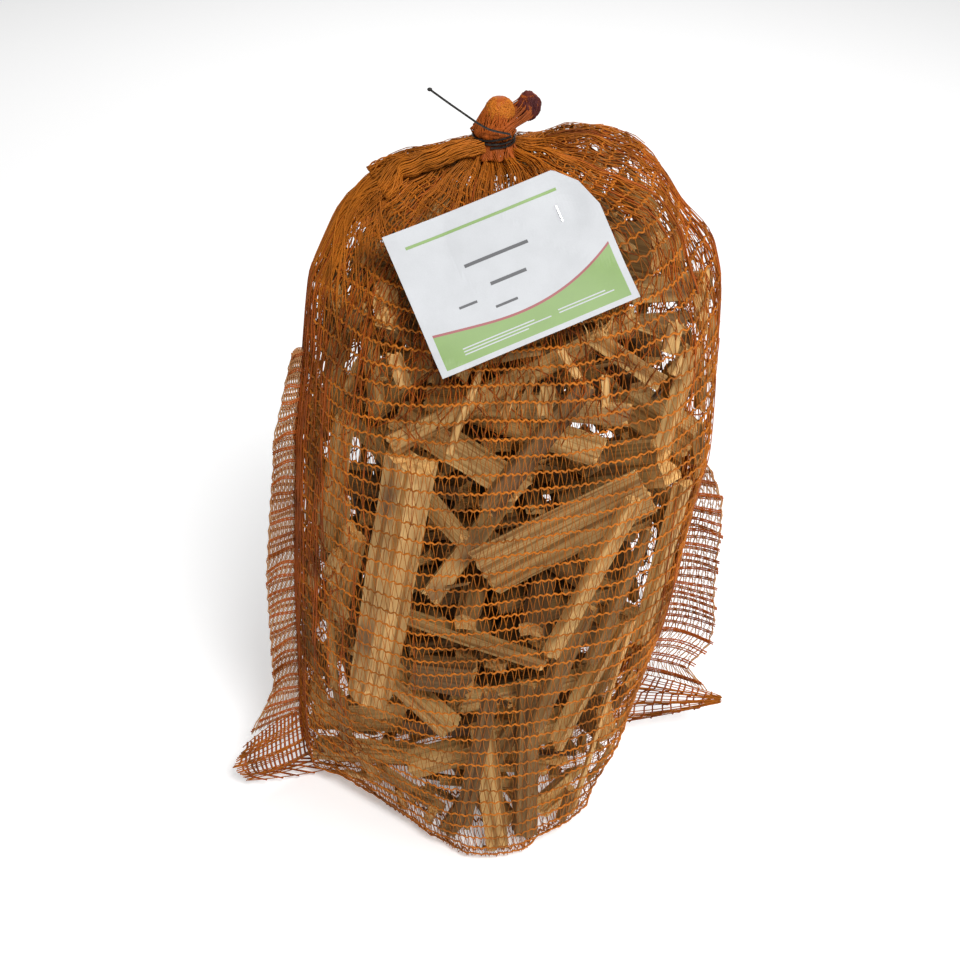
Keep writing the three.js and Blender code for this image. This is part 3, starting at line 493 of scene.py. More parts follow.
class NetSurface:
    """The sack's skin as a grid: columns round the upright axis, rows from the bottom seam to the neck."""

    TURNS = 240
    BASE_ROWS = 12
    WALL_ROWS = 62
    DOME_ROWS = 40

    def __init__(self):
        points, triangles = node_triangles(["net_front_panel", "net_back_panel"])
        self.panels = tree_of(points, triangles)
        self.middle = np.array([points[:, 0].min() + points[:, 0].max(), 0]) / 2
        self.seam_y = (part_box("net_front_panel")[1][1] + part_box("net_back_panel")[0][1]) / 2
        self.neck = box_middle("net_neck_gather")
        self.neck[2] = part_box("net_neck_gather")[0][2]
        self.turns = 2 * math.pi * (np.arange(self.TURNS) + 0.5) / self.TURNS
        self.grid = self.shape_grid()
        self.measure()
        self.puff()
        self.measure()

    def origin(self, height):
        share = height / self.neck[2]
        x = self.middle[0] + (self.neck[0] - self.middle[0]) * share
        return np.array([x, self.seam_y, height])

    def reach(self, origin, direction):
        hit = self.panels.ray_cast(Vector(origin), Vector(direction))
        return hit[3] if hit[0] is not None else None

    def ring(self, origin, rise):
        found = []
        for turn in self.turns:
            direction = [math.cos(rise) * math.cos(turn), math.cos(rise) * math.sin(turn), math.sin(rise)]
            found.append(self.reach(origin, direction))
        known = [i for i, value in enumerate(found) if value is not None]
        if not known:
            raise RuntimeError("the net's panels aren't round the sack's axis")
        return np.interp(np.arange(self.TURNS), known, [found[i] for i in known], period=self.TURNS)

    def shape_grid(self):
        steepest = math.atan2(self.neck[2] - DOME_START, 0.011)
        rays = [(self.origin(z), 0.0) for z in np.linspace(0.006, DOME_START, self.WALL_ROWS)]
        rays += [(self.origin(DOME_START), steepest * (i / self.DOME_ROWS) ** 0.9)
                 for i in range(1, self.DOME_ROWS + 1)]
        reaches = np.array([self.ring(origin, rise) for origin, rise in rays]) - THREAD_INSET
        reaches = softened(softened(reaches))
        rows = []
        flat = np.stack([np.cos(self.turns), np.sin(self.turns)], -1)
        for share in np.linspace(0.04, 0.98, self.BASE_ROWS):
            rim = reaches[0]
            row = np.zeros((self.TURNS, 3))
            row[:, 0] = self.origin(0)[0] + rim * flat[:, 0]
            row[:, 1] = self.seam_y + rim * flat[:, 1] * share
            row[:, 2] = FLOOR_LIFT
            rows.append(row)
        for (origin, rise), reach in zip(rays, reaches):
            direction = np.concatenate([flat * math.cos(rise), np.full((self.TURNS, 1), math.sin(rise))],
                                       axis=1)
            rows.append(origin + direction * reach[:, None])
        return np.array(rows)

    def measure(self):
        """Outward normals, and each row's distance from the bottom seam along the skin."""
        around = np.roll(self.grid, -1, axis=1) - np.roll(self.grid, 1, axis=1)
        upward = np.gradient(self.grid, axis=0)
        self.normals = unit(np.cross(around, upward))
        steps = np.linalg.norm(np.diff(self.grid, axis=0), axis=2)
        self.path = np.concatenate([[0], np.cumsum(np.median(steps, axis=1))])

    def puff(self):
        """Slack net stands up in a soft fold beside the neck, on the right."""
        height = smoothstep(self.path[-1] - 0.150, self.path[-1] - 0.070, self.path)
        height *= 1 - smoothstep(self.path[-1] - 0.040, self.path[-1] - 0.004, self.path)
        side = np.exp(-((np.angle(np.exp(1j * (self.turns - math.radians(5)))) / 0.95) ** 2))
        self.grid = self.grid + self.normals * (0.008 * height[:, None] * side[None, :])[:, :, None]

    def sink(self, sticks, depth):
        """Lets the net sink between the sticks that hold it out, never into one."""
        room = np.full(self.grid.shape[:2], depth * 2)
        for i in range(self.BASE_ROWS + 1, self.grid.shape[0] - 5):
            for j in range(self.TURNS):
                start = self.grid[i, j]
                hit = sticks.ray_cast(Vector(start), Vector(-self.normals[i, j]), depth * 6)
                if hit[0] is not None:
                    room[i, j] = hit[3]
        sag = np.clip((room - LEAST_STICK_SPACE) * 0.55, 0, depth)
        sag[: self.BASE_ROWS + 2] = 0
        sag[-6:] = 0
        sag *= smoothstep(0.0, 0.30, np.abs(np.sin(self.turns)))[None, :]
        for _ in range(7):
            sag = np.minimum(softened(sag), np.maximum(room - LEAST_STICK_SPACE, 0))
        self.grid = self.grid - self.normals * sag[:, :, None]
        self.measure()

    def read(self, field, path, turn):
        row = np.interp(path, self.path, np.arange(len(self.path)))
        column = (np.asarray(turn) / (2 * math.pi) * self.TURNS - 0.5) % self.TURNS
        i = np.clip(row.astype(int), 0, len(self.path) - 2)
        j = column.astype(int) % self.TURNS
        k = (j + 1) % self.TURNS
        up, along = (row - i)[..., None], (column - column.astype(int))[..., None]
        low = field[i, j] * (1 - along) + field[i, k] * along
        high = field[i + 1, j] * (1 - along) + field[i + 1, k] * along
        return low * (1 - up) + high * up

    def at(self, path, turn, out=0.0):
        path, turn = np.broadcast_arrays(np.asarray(path, float), np.asarray(turn, float))
        normal = unit(self.read(self.normals, path, turn))
        out = np.broadcast_to(out, path.shape)
        return self.read(self.grid, path, turn) + normal * out[..., None], normal

    def inside(self, points, space):
        """Whether every point is inside the skin with some space left."""
        for point in points:
            origin = self.origin(min(point[2], DOME_START))
            offset = point - origin
            distance = float(np.linalg.norm(offset))
            reach = self.reach(origin, offset / max(distance, 1e-9))
            if point[2] < 0.004 or reach is None or distance > reach - space:
                return False
        return True


# ---------------------------------------------------------------------------
# Sticks

def stick_rings(node):
    """The sections of a stick's solid, from end to end, each ordered round the stick's own axis."""
    points = node_points(node)
    centre = points.mean(axis=0)
    axes = np.linalg.svd(points - centre, full_matrices=False)[2]
    along = axes[0]
    order = np.argsort((points - centre) @ along)
    rings = 4
    if len(points) % rings:
        raise RuntimeError(f"{node} isn't four sections")
    sections = np.array_split(points[order], rings)
    across = axes[1]
    third = np.cross(along, across)
    ordered = []
    for section in sections:
        offset = section - section.mean(axis=0)
        turn = np.arctan2(offset @ third, offset @ across)
        ordered.append(section[np.argsort(turn)])
    base = ordered[1]
    for k in (0, 2, 3):
        best = min(range(len(base)), key=lambda s: np.linalg.norm(
            (np.roll(ordered[k], s, axis=0) - ordered[k].mean(axis=0)) - (base - base.mean(axis=0))))
        ordered[k] = np.roll(ordered[k], best, axis=0)
    return np.array(ordered)


def box_rings(random, middle, axes, half):
    """Sections of a new split stick inside a box, with a rough four or five sided outline."""
    w, t = half[1], half[2]
    outline = [
        (-w, -t * random.uniform(0.55, 1)), (w * random.uniform(0.7, 1), -t),
        (w, t * random.uniform(0.2, 0.95)),
        (w * random.uniform(-0.1, 0.6), t), (-w * random.uniform(0.75, 1), t * random.uniform(0.5, 0.9))]
    if random.random() < 0.35:
        outline.pop(3)
    outline = np.array(outline)
    taper = random.uniform(0, 0.2)
    rings = []
    for share in (-1, -0.34, 0.34, 1):
        size = 1 - taper * (share + 1) / 2
        slant = random.uniform(-0.2, 0.2) * (outline[:, 0] - w * np.sign(share)) if abs(share) == 1 else 0
        length = half[0] * share - np.sign(share) * np.abs(slant)
        length = np.broadcast_to(length, len(outline))
        rings.append(middle + outline[:, :1] * size * axes[1] + outline[:, 1:] * size * axes[2]
                     + length[:, None] * axes[0])
    return np.array(rings)


def split_stick(rings, random, settings, tint=None, around=None):
    """A split stick through its sections: ridges of fibre along it, torn ends and a map along the grain."""
    along = unit(rings[-1].mean(axis=0) - rings[0].mean(axis=0))
    length = np.linalg.norm(rings[-1].mean(axis=0) - rings[0].mean(axis=0))
    corner_count = rings.shape[1]
    edges = np.linalg.norm(np.roll(rings[1], -1, axis=0) - rings[1], axis=1)
    wanted = np.maximum(2, np.round((around or settings.around) * edges / edges.sum())).astype(int)
    corner = np.repeat(np.arange(corner_count), wanted)
    share = np.concatenate([np.arange(n) / n for n in wanted])
    around = len(corner)
    rows = max(6, int(length / settings.span))
    place = np.linspace(0, rings.shape[0] - 1, rows)
    low = np.minimum(place.astype(int), rings.shape[0] - 2)
    part = (place - low)[:, None, None]
    corners = rings[low] * (1 - part) + rings[low + 1] * part
    following = (corner + 1) % corner_count
    skin = corners[:, corner] * (1 - share[:, None]) + corners[:, following] * share[:, None]
    centre = skin.mean(axis=1, keepdims=True)
    outward = skin - centre
    outward -= (outward @ along)[..., None] * along
    thickness = np.linalg.norm(outward, axis=2, keepdims=True)
    outward = outward / np.maximum(thickness, 1e-9)
    fibre = random.normal(0, 1, around)
    fibre = 0.65 * fibre + 0.35 * np.roll(fibre, 1)
    wander = ripple(int(random.integers(1e6)), np.linspace(0, 7, rows)[:, None],
                    np.linspace(0, 9, around)[None, :])
    depth = settings.relief * (0.7 * fibre[None, :] + 0.8 * wander) - settings.relief * 0.8
    depth = np.minimum(depth, 0.00025)
    depth = np.maximum(depth, -thickness[..., 0] * 0.3)
    skin = skin + outward * depth[..., None]
    bow = random.uniform(-0.5, 0.5) * 0.0012
    profile = np.sin(np.linspace(0, math.pi, rows)) * bow
    skin = skin + profile[:, None, None] * outward[rows // 2, 0]
    torn = settings.torn * random.uniform(0.4, 1.6)
    for row, sign in ((0, 1), (rows - 1, -1)):
        skin[row] += along * (sign * np.abs(random.normal(0, torn, around)))[:, None]
    points = [skin.reshape(-1, 3)]
    number = np.arange(rows * around).reshape(rows, around)
    sides = tube_walls(number)
    start = rows * around
    ends = []
    for row, sign in ((0, 1), (rows - 1, -1)):
        rim = skin[row]
        hub = rim.mean(axis=0)
        inner = hub + (rim - hub) * 0.52 + along * (sign * random.normal(0.0003, torn * 0.5, around))[:, None]
        points += [inner, hub[None] + along * sign * torn * 0.3]
        ring = np.arange(start, start + around)
        middle = start + around
        rim_number = number[row]
        a, b = rim_number, np.roll(rim_number, -1)
        c, d = ring, np.roll(ring, -1)
        fan = [np.stack([a, d, b], -1), np.stack([a, c, d], -1),
               np.stack([c, np.full(around, middle), d], -1)]
        if sign < 0:
            fan = [face[:, ::-1] for face in fan]
        ends.append(np.concatenate(fan))
        start += around + 1
    points = np.concatenate(points)
    triangles = np.concatenate([sides, *ends])
    middle = points.mean(axis=0)
    tip = points[triangles[0]]
    if np.dot(np.cross(tip[1] - tip[0], tip[2] - tip[0]), tip.mean(axis=0) - skin[:2].mean(axis=(0, 1))) < 0:
        triangles = triangles[:, ::-1]
    perimeter = np.concatenate([[0], np.cumsum(np.linalg.norm(np.diff(skin[rows // 2], axis=0), axis=1))])
    shift = random.uniform(0, 3, 2)
    offset = points - middle
    along_map = offset @ along + shift[0]
    across_map = np.concatenate([np.tile(perimeter, rows), np.zeros(len(points) - rows * around)]) + shift[1]
    uv = np.stack([along_map[triangles], across_map[triangles]], -1)
    whole = np.linalg.norm(skin[rows // 2, 0] - skin[rows // 2, -1]) + perimeter[-1]
    side_uv = uv[: len(sides)]
    wrapped = side_uv[..., 1].max(axis=1) - side_uv[..., 1].min(axis=1) > perimeter[-1] * 0.5
    turned = side_uv[..., 1] < shift[1] + perimeter[-1] * 0.25
    side_uv[..., 1] += whole * (turned & wrapped[:, None])
    indices = np.concatenate([np.zeros(len(sides), int), np.ones(len(triangles) - len(sides), int)])
    value = random.beta(1.7, 1.5) if tint is None else tint
    tints = np.full(len(points), value)
    bark = np.zeros(len(points))
    if random.random() < 0.3:
        face = int(random.integers(corner_count))
        columns = np.nonzero(corner == face)[0][1:]
        marked = (number[:, columns]).ravel()
        patches = ripple(int(random.integers(1e6)), points[marked, 0] * 60, points[marked, 2] * 60)
        bark[marked] = 0.75 * smoothstep(-0.2, 0.6, patches)
    return points, triangles, uv.reshape(-1, 2), indices, tints, bark


def box_of(node):
    """A stick's solid as a box in space: middle, three directions and half sizes."""
    points = node_points(node)
    centre = points.mean(axis=0)
    axes = np.linalg.svd(points - centre, full_matrices=False)[2]
    local = (points - centre) @ axes.T
    low, high = local.min(axis=0), local.max(axis=0)
    return centre + ((low + high) / 2) @ axes, axes, (high - low) / 2


def overlaps(middle, axes, half, boxes, gap):
    """Whether a box meets any of the others (separating axes, all boxes at once)."""
    middles, all_axes, halves = boxes
    apart = middles - middle
    near = np.linalg.norm(apart, axis=1) < half.max() + halves.max(axis=1) + 0.02
    if not near.any():
        return False
    apart, others, sizes = apart[near], all_axes[near], halves[near]
    own = np.broadcast_to(axes, others.shape)
    crossed = np.cross(own[:, :, None, :], others[:, None, :, :]).reshape(len(apart), 9, 3)
    directions = np.concatenate([own, others, crossed], axis=1)
    size = np.linalg.norm(directions, axis=2, keepdims=True)
    directions = np.where(size > 1e-3, directions / np.maximum(size, 1e-9), own[:, :1])
    extent = (np.abs(np.einsum("nij,nkj->nik", directions, own)) * half).sum(axis=2)
    extent += (np.abs(np.einsum("nij,nkj->nik", directions, others)) * sizes[:, None]).sum(axis=2)
    distance = np.abs(np.einsum("nij,nj->ni", directions, apart))
    return bool((distance < extent + gap).all(axis=1).any())


def add_box(boxes, *box):
    """Puts a box's middle, directions and half sizes after those of the others."""
    for k, value in enumerate(box):
        boxes[k] = np.concatenate([boxes[k], value[None]])


def core_boxes(surface, boxes):
    """Crossed layers of sticks through the middle of the sack, each as long as there is room for."""
    random = np.random.default_rng(19)
    placed = []
    turn = 0.3
    for height in np.arange(*CORE_HEIGHTS, CORE_LAYER):
        turn += math.radians(random.uniform(50, 80))
        along = unit(np.array([math.cos(turn), math.sin(turn), random.uniform(-0.06, 0.06)]))
        level = unit(np.cross([0, 0, 1], along))
        for lane in range(-6, 7):
            for reach in CORE_REACHES:
                fitted = False
                for shift in CORE_SHIFTS:
                    along_lane = shift + random.uniform(-0.006, 0.006)
                    middle = surface.origin(height) + level * lane * CORE_LANE + along * along_lane
                    middle[2] = height + random.uniform(-0.0008, 0.0008)
                    half = np.array([reach, CORE_LANE * random.uniform(0.38, 0.47),
                                     CORE_LAYER * random.uniform(0.36, 0.46)])
                    axes = np.array([along, level, np.cross(along, level)])
                    if overlaps(middle, axes, half, boxes, STICK_GAP):
                        continue
                    behind_outer = middle[1] < surface.seam_y - 0.05 and height > 0.04
                    space = 0.003 + (0.012 if behind_outer else 0)
                    if not surface.inside(middle + (BOX_CORNERS * half) @ axes, space):
                        continue
                    add_box(boxes, middle, axes, half)
                    # The sticks of the middle layers get dark tints (0 to 0.30): painted shade for the deep
                    # gaps between the outer sticks.
                    placed.append((middle, axes, half, random.uniform(0.0, 0.30)))
                    fitted = True
                    break
                if fitted:
                    break
    return placed


def wall_boxes(surface, boxes):
    """Sticks that lie close against the net round the sides, the back and the shoulders."""
    random = np.random.default_rng(43)
    placed = []
    for attempt in range(WALL_TRIES):
        small = attempt > WALL_TRIES * 0.4
        path = random.uniform(surface.path[1], surface.path[-5])
        skin, normal = surface.at(path, random.uniform(0, 2 * math.pi))
        if OPEN_HEIGHTS[0] < skin[2] < OPEN_HEIGHTS[1] and -normal[1] > OPEN_FRONT:
            continue
        if small:
            half = np.array([random.uniform(0.009, 0.036), random.uniform(0.0028, 0.0070),
                             random.uniform(0.0018, 0.0038)])
        else:
            half = np.array([random.uniform(0.020, 0.095), random.uniform(0.005, 0.011),
                             random.uniform(0.0030, 0.0065)])
        level = unit(np.cross([0, 0, 1] if abs(normal[2]) < 0.9 else [0, 1, 0], normal))
        slope = random.normal(math.pi / 2, 0.7)
        along = level * math.cos(slope) + np.cross(normal, level) * math.sin(slope)
        axes = np.array([along, np.cross(normal, along), normal])
        for depth in WALL_DEPTHS:
            middle = skin - normal * (depth + half[2])
            if not surface.inside(middle + (BOX_CORNERS * half) @ axes, SKIN_SPACE):
                continue
            if not overlaps(middle, axes, half, boxes, STICK_GAP):
                add_box(boxes, middle, axes, half)
                placed.append((middle, axes, half, random.uniform(0.25, 0.95)))
            break
    return placed


def loose_boxes(surface, boxes, count):
    """Smaller and smaller sticks and chips in the room left: in the shoulders, the foot and anywhere."""
    random = np.random.default_rng(27)
    low, high = box_ends("net_front_panel")
    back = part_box("net_back_panel")[1][1]
    placed = []
    for attempt in range(LOOSE_TRIES):
        if len(placed) >= count:
            break
        size = 1 - 0.78 * attempt / LOOSE_TRIES
        half = np.array([random.uniform(0.03, 0.085), random.uniform(0.006, 0.013),
                         random.uniform(0.0045, 0.009)]) * size
        floor, ceiling, steepness = LOOSE_ZONES[int(random.integers(0, len(LOOSE_ZONES)))]
        middle = np.array([random.uniform(low[0], high[0]), random.uniform(low[1], back),
                           random.uniform(floor, ceiling)])
        turn, slope = random.uniform(0, math.pi), random.normal(0, steepness)
        along = np.array([math.cos(turn) * math.cos(slope), math.sin(turn) * math.cos(slope),
                          math.sin(slope)])
        level = unit(np.cross([0, 0, 1], along))
        axes = np.array([along, level, np.cross(along, level)])
        facing = OPEN_HEIGHTS[0] < middle[2] < OPEN_HEIGHTS[1] and middle[1] < surface.seam_y - 0.04
        if not surface.inside(middle[None], 0.002 + half[2]):
            continue
        if overlaps(middle, axes, half, boxes, STICK_GAP):
            continue
        if not surface.inside(middle + (BOX_CORNERS * half) @ axes, FRONT_DEPTH if facing else SKIN_SPACE):
            continue
        add_box(boxes, middle, axes, half)
        # Chips behind the front, where the net faces forward, get dark tints as painted shade in the gaps
        # between the outer sticks; the others keep the wood's own varied tone.
        tint = random.uniform(0.05, 0.4) if facing else random.uniform(0.2, 0.85)
        placed.append((middle, axes, half, tint))
    return placed


def filling_boxes(surface, nodes, count):
    """Places for the sticks that fill the sack: against the net, in the middle, then in the room left."""
    taken = [box_of(node) for node in nodes]
    boxes = [np.array([box[k] for box in taken]) for k in range(3)]
    placed = wall_boxes(surface, boxes) + core_boxes(surface, boxes)
    return placed + loose_boxes(surface, boxes, count - len(placed))


# What the operators share, made once: the skin, the sticks' surfaces, the chains' rows and the materials
SACK = {}


def kindling_nodes():
    return sorted(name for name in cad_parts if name.startswith("kindling_"))


def wood_materials():
    if "wood" not in SACK:
        settings = bpy.context.scene.kindling_settings
        SACK["wood"] = [wood_side_material(settings), wood_end_material(settings)]
    return SACK["wood"]


# From dark (0) to pale (1), for the sticks whose tone is known; the others draw theirs
STICK_TINTS = {
    "kindling_pale_block": 0.98, "kindling_long_slat": 0.66, "kindling_left_end_top": 0.92,
    "kindling_left_end_middle": 0.88, "kindling_left_end_low": 0.92, "kindling_low_block": 0.86,
    "kindling_grey_slat": 0.45, "kindling_right_dark": 0.25, "kindling_pale_end": 0.85,
    "kindling_thin_splint": 0.9, "kindling_right_lath": 0.9, "kindling_wide_plank": 0.55,
    "kindling_torn_end": 0.7, "kindling_right_pale": 0.8,
}


def splinters(node, share, count):
    """Torn slivers that stand up from a stick's outer face, at a share of its length from the left."""
    rings = stick_rings(node)
    ends = sorted((rings[0].mean(axis=0), rings[-1].mean(axis=0)), key=lambda end: end[0])
    along = unit(ends[1] - ends[0])
    root = ends[0] + (ends[1] - ends[0]) * share
    outward = unit(np.array([root[0], root[1], 0.03]))
    random = np.random.default_rng(61)
    place = np.linspace(0, 1, 7)[:, None]
    slivers = []
    for _ in range(count):
        start = root + along * random.normal(0, 0.007) + outward * 0.003
        start = start + np.array([0, 0, random.uniform(-0.003, 0.005)])
        tip = start + outward * random.uniform(0.003, 0.007) + along * random.normal(0, 0.007)
        tip[2] += random.uniform(0.007, 0.017)
        slivers.append(start * (1 - place) + tip * place + outward * 0.002 * np.sin(place * math.pi))
    slivers = np.array(slivers)
    radii = np.broadcast_to(np.linspace(0.0010, 0.00015, 7), slivers.shape[:2])
    return thread_mesh(slivers, radii, np.broadcast_to(outward, slivers.shape), sides=4)


class SACK_OT_kindling(bpy.types.Operator):
    """Makes the outer split sticks in place of their solids"""
    bl_idname = "kindling_sack.kindling"
    bl_label = "Outer sticks"

    def execute(self, context):
        settings = context.scene.kindling_settings
        skins = []
        for number, node in enumerate(kindling_nodes()):
            random = np.random.default_rng(100 + number)
            points, triangles, uv, indices, tints, bark = split_stick(
                stick_rings(node), random, settings, STICK_TINTS.get(node))
            piece = mesh_piece(node.replace("kindling_", "stick_"), points, triangles, wood_materials(),
                               indices, uv, {"tint": tints, "bark": bark}, smooth=False)
            finish_piece(piece, node, slot="kindling_wood")
            skins.append((points, triangles))
        SACK["stick_skins"] = skins
        points, triangles = splinters("kindling_long_slat", 0.80, 9)
        slivers = mesh_piece("long_slat_splinters", points, triangles, [wood_materials()[1]],
                             floats={"tint": np.ones(len(points))}, smooth=False)
        finish_piece(slivers, slot="kindling_wood")
        return {"FINISHED"}


class SACK_OT_filling(bpy.types.Operator):
    """Fills the sack with further split sticks behind the outer ones"""
    bl_idname = "kindling_sack.filling"
    bl_label = "Filling sticks"

    def execute(self, context):
        settings = context.scene.kindling_settings
        surface = SACK["surface"] = NetSurface()
        boxes = filling_boxes(surface, kindling_nodes(), settings.filling)
        for group in range(FILLING_PIECES):
            points, triangles, uvs, indices, tints, barks, start = [], [], [], [], [], [], 0
            for number in range(group, len(boxes), FILLING_PIECES):
                random = np.random.default_rng(500 + number)
                middle, axes, half, tint = boxes[number]
                made = split_stick(box_rings(random, middle, axes, half), random, settings, tint,
                                   FILLING_POINTS)
                points.append(made[0])
                triangles.append(made[1] + start)
                for kept, value in zip((uvs, indices, tints, barks), made[2:]):
                    kept.append(value)
                start += len(made[0])
                SACK["stick_skins"].append(made[:2])
            if not points:
                continue
            piece = mesh_piece(
                f"filling_sticks_{group + 1:02d}", np.concatenate(points), np.concatenate(triangles),
                wood_materials(),
                np.concatenate(indices), np.concatenate(uvs),
                {"tint": np.concatenate(tints), "bark": np.concatenate(barks)}, smooth=False)
            finish_piece(piece, slot="kindling_wood")
        surface.sink(tree_of(*join_arrays(SACK["stick_skins"])), context.scene.net_settings.sag)
        return {"FINISHED"}


# ---------------------------------------------------------------------------
# The net

def net_materials():
    if "net" not in SACK:
        settings = bpy.context.scene.net_settings
        colour, layered = tuple(settings.colour), tuple(settings.layered)
        SACK["net"] = net_material("orange_net", colour, shade(colour, 0.55))
        SACK["net_layered"] = net_material("layered_net", layered, shade(layered, 0.5))
        SACK["net_pale"] = net_material("pale_net", (0.60, 0.34, 0.16), (0.52, 0.20, 0.05))
    return SACK["net"], SACK["net_layered"], SACK["net_pale"]


def fold_out(surface, path, turn):
    """Pleats that deepen as the net runs up into the neck."""
    near = smoothstep(surface.path[-1] - 0.085, surface.path[-1] - 0.005, path)
    return near * (0.0022 * np.sin(19 * turn + 1.5 * np.sin(3 * turn)) + 0.0012 * np.sin(31 * turn))


def chain_paths(surface, settings):
    """Each chain's distance from the bottom seam: even rows that close up towards the neck."""
    end = surface.path[-1] - 0.003
    paths = [0.6 * settings.row_spacing]
    while paths[-1] < end:
        near = float(smoothstep(end - 0.13, end - 0.02, paths[-1]))
        paths.append(paths[-1] + settings.row_spacing * (1 - settings.crowding * near))
    return np.array(paths[:-1])


def row_path(surface, row, turn):
    """A chain's distance from the bottom seam at a turn: it wanders and pulls a little."""
    base = SACK["rows"][row]
    wander = 0.0026 * ripple(5, np.cos(turn) * 1.6 + 0 * turn, np.sin(turn) * 1.6,
                             np.full_like(turn, row * 0.13))
    jump = 0.0007 * ripple(9, np.cos(turn) * 5, np.sin(turn) * 5, np.full_like(turn, row * 1.7))
    return np.clip(base + wander + jump, 0.0005, surface.path[-1] - 0.0005)


def chain_wave(turn, row, settings):
    """The chain's own wave at a turn, up or down along the skin."""
    slip = 0.9 * np.sin(row * 2.4) + 0.5 * np.sin(7 * turn + row)
    return settings.wave_height * np.sin(settings.waves * turn + slip)


def crowding(surface, path, turn):
    """How far the columns are drawn together: 1 on the body, towards 0 at the neck."""
    step = 2 * math.pi / surface.TURNS
    one, _ = surface.at(path, turn)
    two, _ = surface.at(path, turn + step)
    width = np.linalg.norm(two - one, axis=-1) / step
    return np.clip(width / 0.10, 0.22, 1.0)


def quarter_chains(surface, settings, quarter):
    rows = len(SACK["rows"])
    count = settings.waves * STEPS_PER_WAVE // len(QUARTERS) + 1
    start = QUARTERS[quarter] * math.pi
    turn = start + np.linspace(0, math.pi / 2, count)
    centres, radii, normals = [], [], []
    for row in range(rows):
        path = row_path(surface, row, turn)
        tight = crowding(surface, path, turn)
        wave = chain_wave(turn, row, settings) * tight
        loop = 0.0003 * np.sin(0.5 * settings.waves * turn)
        place, normal = surface.at(path + wave, turn, loop + fold_out(surface, path, turn))
        centres.append(place)
        normals.append(normal)
        swell = 1 + 0.18 * np.sin(0.7 * settings.waves * turn + 1)
        radii.append(settings.chain_radius * (0.62 + 0.38 * tight) * swell)
    return thread_mesh(np.array(centres), np.array(radii), np.array(normals), sides=4)


def quarter_filaments(surface, settings, quarter):
    """Thin filaments that zigzag between neighbouring chains."""
    rows = len(SACK["rows"]) - 1
    random = np.random.default_rng(31 + list(QUARTERS).index(quarter))
    start = QUARTERS[quarter] * math.pi
    count = settings.filaments // len(QUARTERS)
    spacing = (math.pi / 2) / count
    centres, normals, radii = [], [], []
    for row in range(rows):
        low = start + (np.arange(count) + 0.5 + random.uniform(-0.25, 0.25, count)) * spacing
        lean = np.where((np.arange(count) + row) % 2 == 0, 0.36, -0.36) * spacing
        turns = np.stack([low - lean, low + random.normal(0, 0.12, count) * spacing, low + lean], axis=1)
        turns = np.clip(turns, start, start + math.pi / 2)
        lower = row_path(surface, row, turns[:, 0]) + chain_wave(turns[:, 0], row, settings)
        upper = row_path(surface, row + 1, turns[:, 2]) + chain_wave(turns[:, 2], row + 1, settings)
        share = random.uniform(0.35, 0.65, count)
        path = np.stack([lower, lower * (1 - share) + upper * share, upper], axis=1)
        path = np.clip(path, 0.0005, surface.path[-1] - 0.0005)
        out = fold_out(surface, path, turns) - 0.0002
        place, normal = surface.at(path, turns, out)
        tight = crowding(surface, path, turns)
        centres.append(place)
        normals.append(normal)
        radii.append(settings.filament_radius * (0.7 + 0.3 * tight))
    return thread_mesh(np.concatenate(centres), np.concatenate(radii), np.concatenate(normals), sides=3)


class SACK_OT_net(bpy.types.Operator):
    """Knits the net over the sticks: wavy chains with thin filaments between them"""
    bl_idname = "kindling_sack.net"
    bl_label = "Knitted net"

    def execute(self, context):
        settings = context.scene.net_settings
        surface = SACK["surface"]
        SACK["rows"] = chain_paths(surface, settings)
        orange, _, _ = net_materials()
        for quarter in QUARTERS:
            chains = quarter_chains(surface, settings, quarter)
            filaments = quarter_filaments(surface, settings, quarter)
            piece = mesh_piece(f"net_{quarter}", *join_arrays([chains, filaments]), [orange])
            node = "net_front_panel" if quarter.startswith("front") else "net_back_panel"
            finish_piece(piece, node, slot="net_fabric")
        return {"FINISHED"}


def flange_rows(node, hand):
    """The flange's height, inner and outer edge and depth, read off its solid from the foot upwards."""
    points = node_points(node)
    rows = []
    for z in np.unique(np.round(points[:, 2], 4)):
        level = points[np.abs(points[:, 2] - z) < 1e-4]
        inner = level[np.argmin(hand * level[:, 0])]
        outer = level[np.argmax(hand * level[:, 0])]
        inner_y = level[np.abs(level[:, 0] - inner[0]) < 1e-5][:, 1].mean()
        outer_y = level[np.abs(level[:, 0] - outer[0]) < 1e-5][:, 1].mean()
        rows.append([z, inner[0], outer[0], inner_y, outer_y])
    return np.array(rows)


def flange_place(rows, height, share):
    """A point on the flange: share runs from the body to the free edge."""
    z = np.clip(height, rows[0, 0], rows[-1, 0])
    inner_x, outer_x, inner_y, outer_y = (np.interp(z, rows[:, 0], rows[:, k]) for k in (1, 2, 3, 4))
    return np.stack([inner_x + (outer_x - inner_x) * share, inner_y + (outer_y - inner_y) * share * share,
                     z + 0 * share], -1)


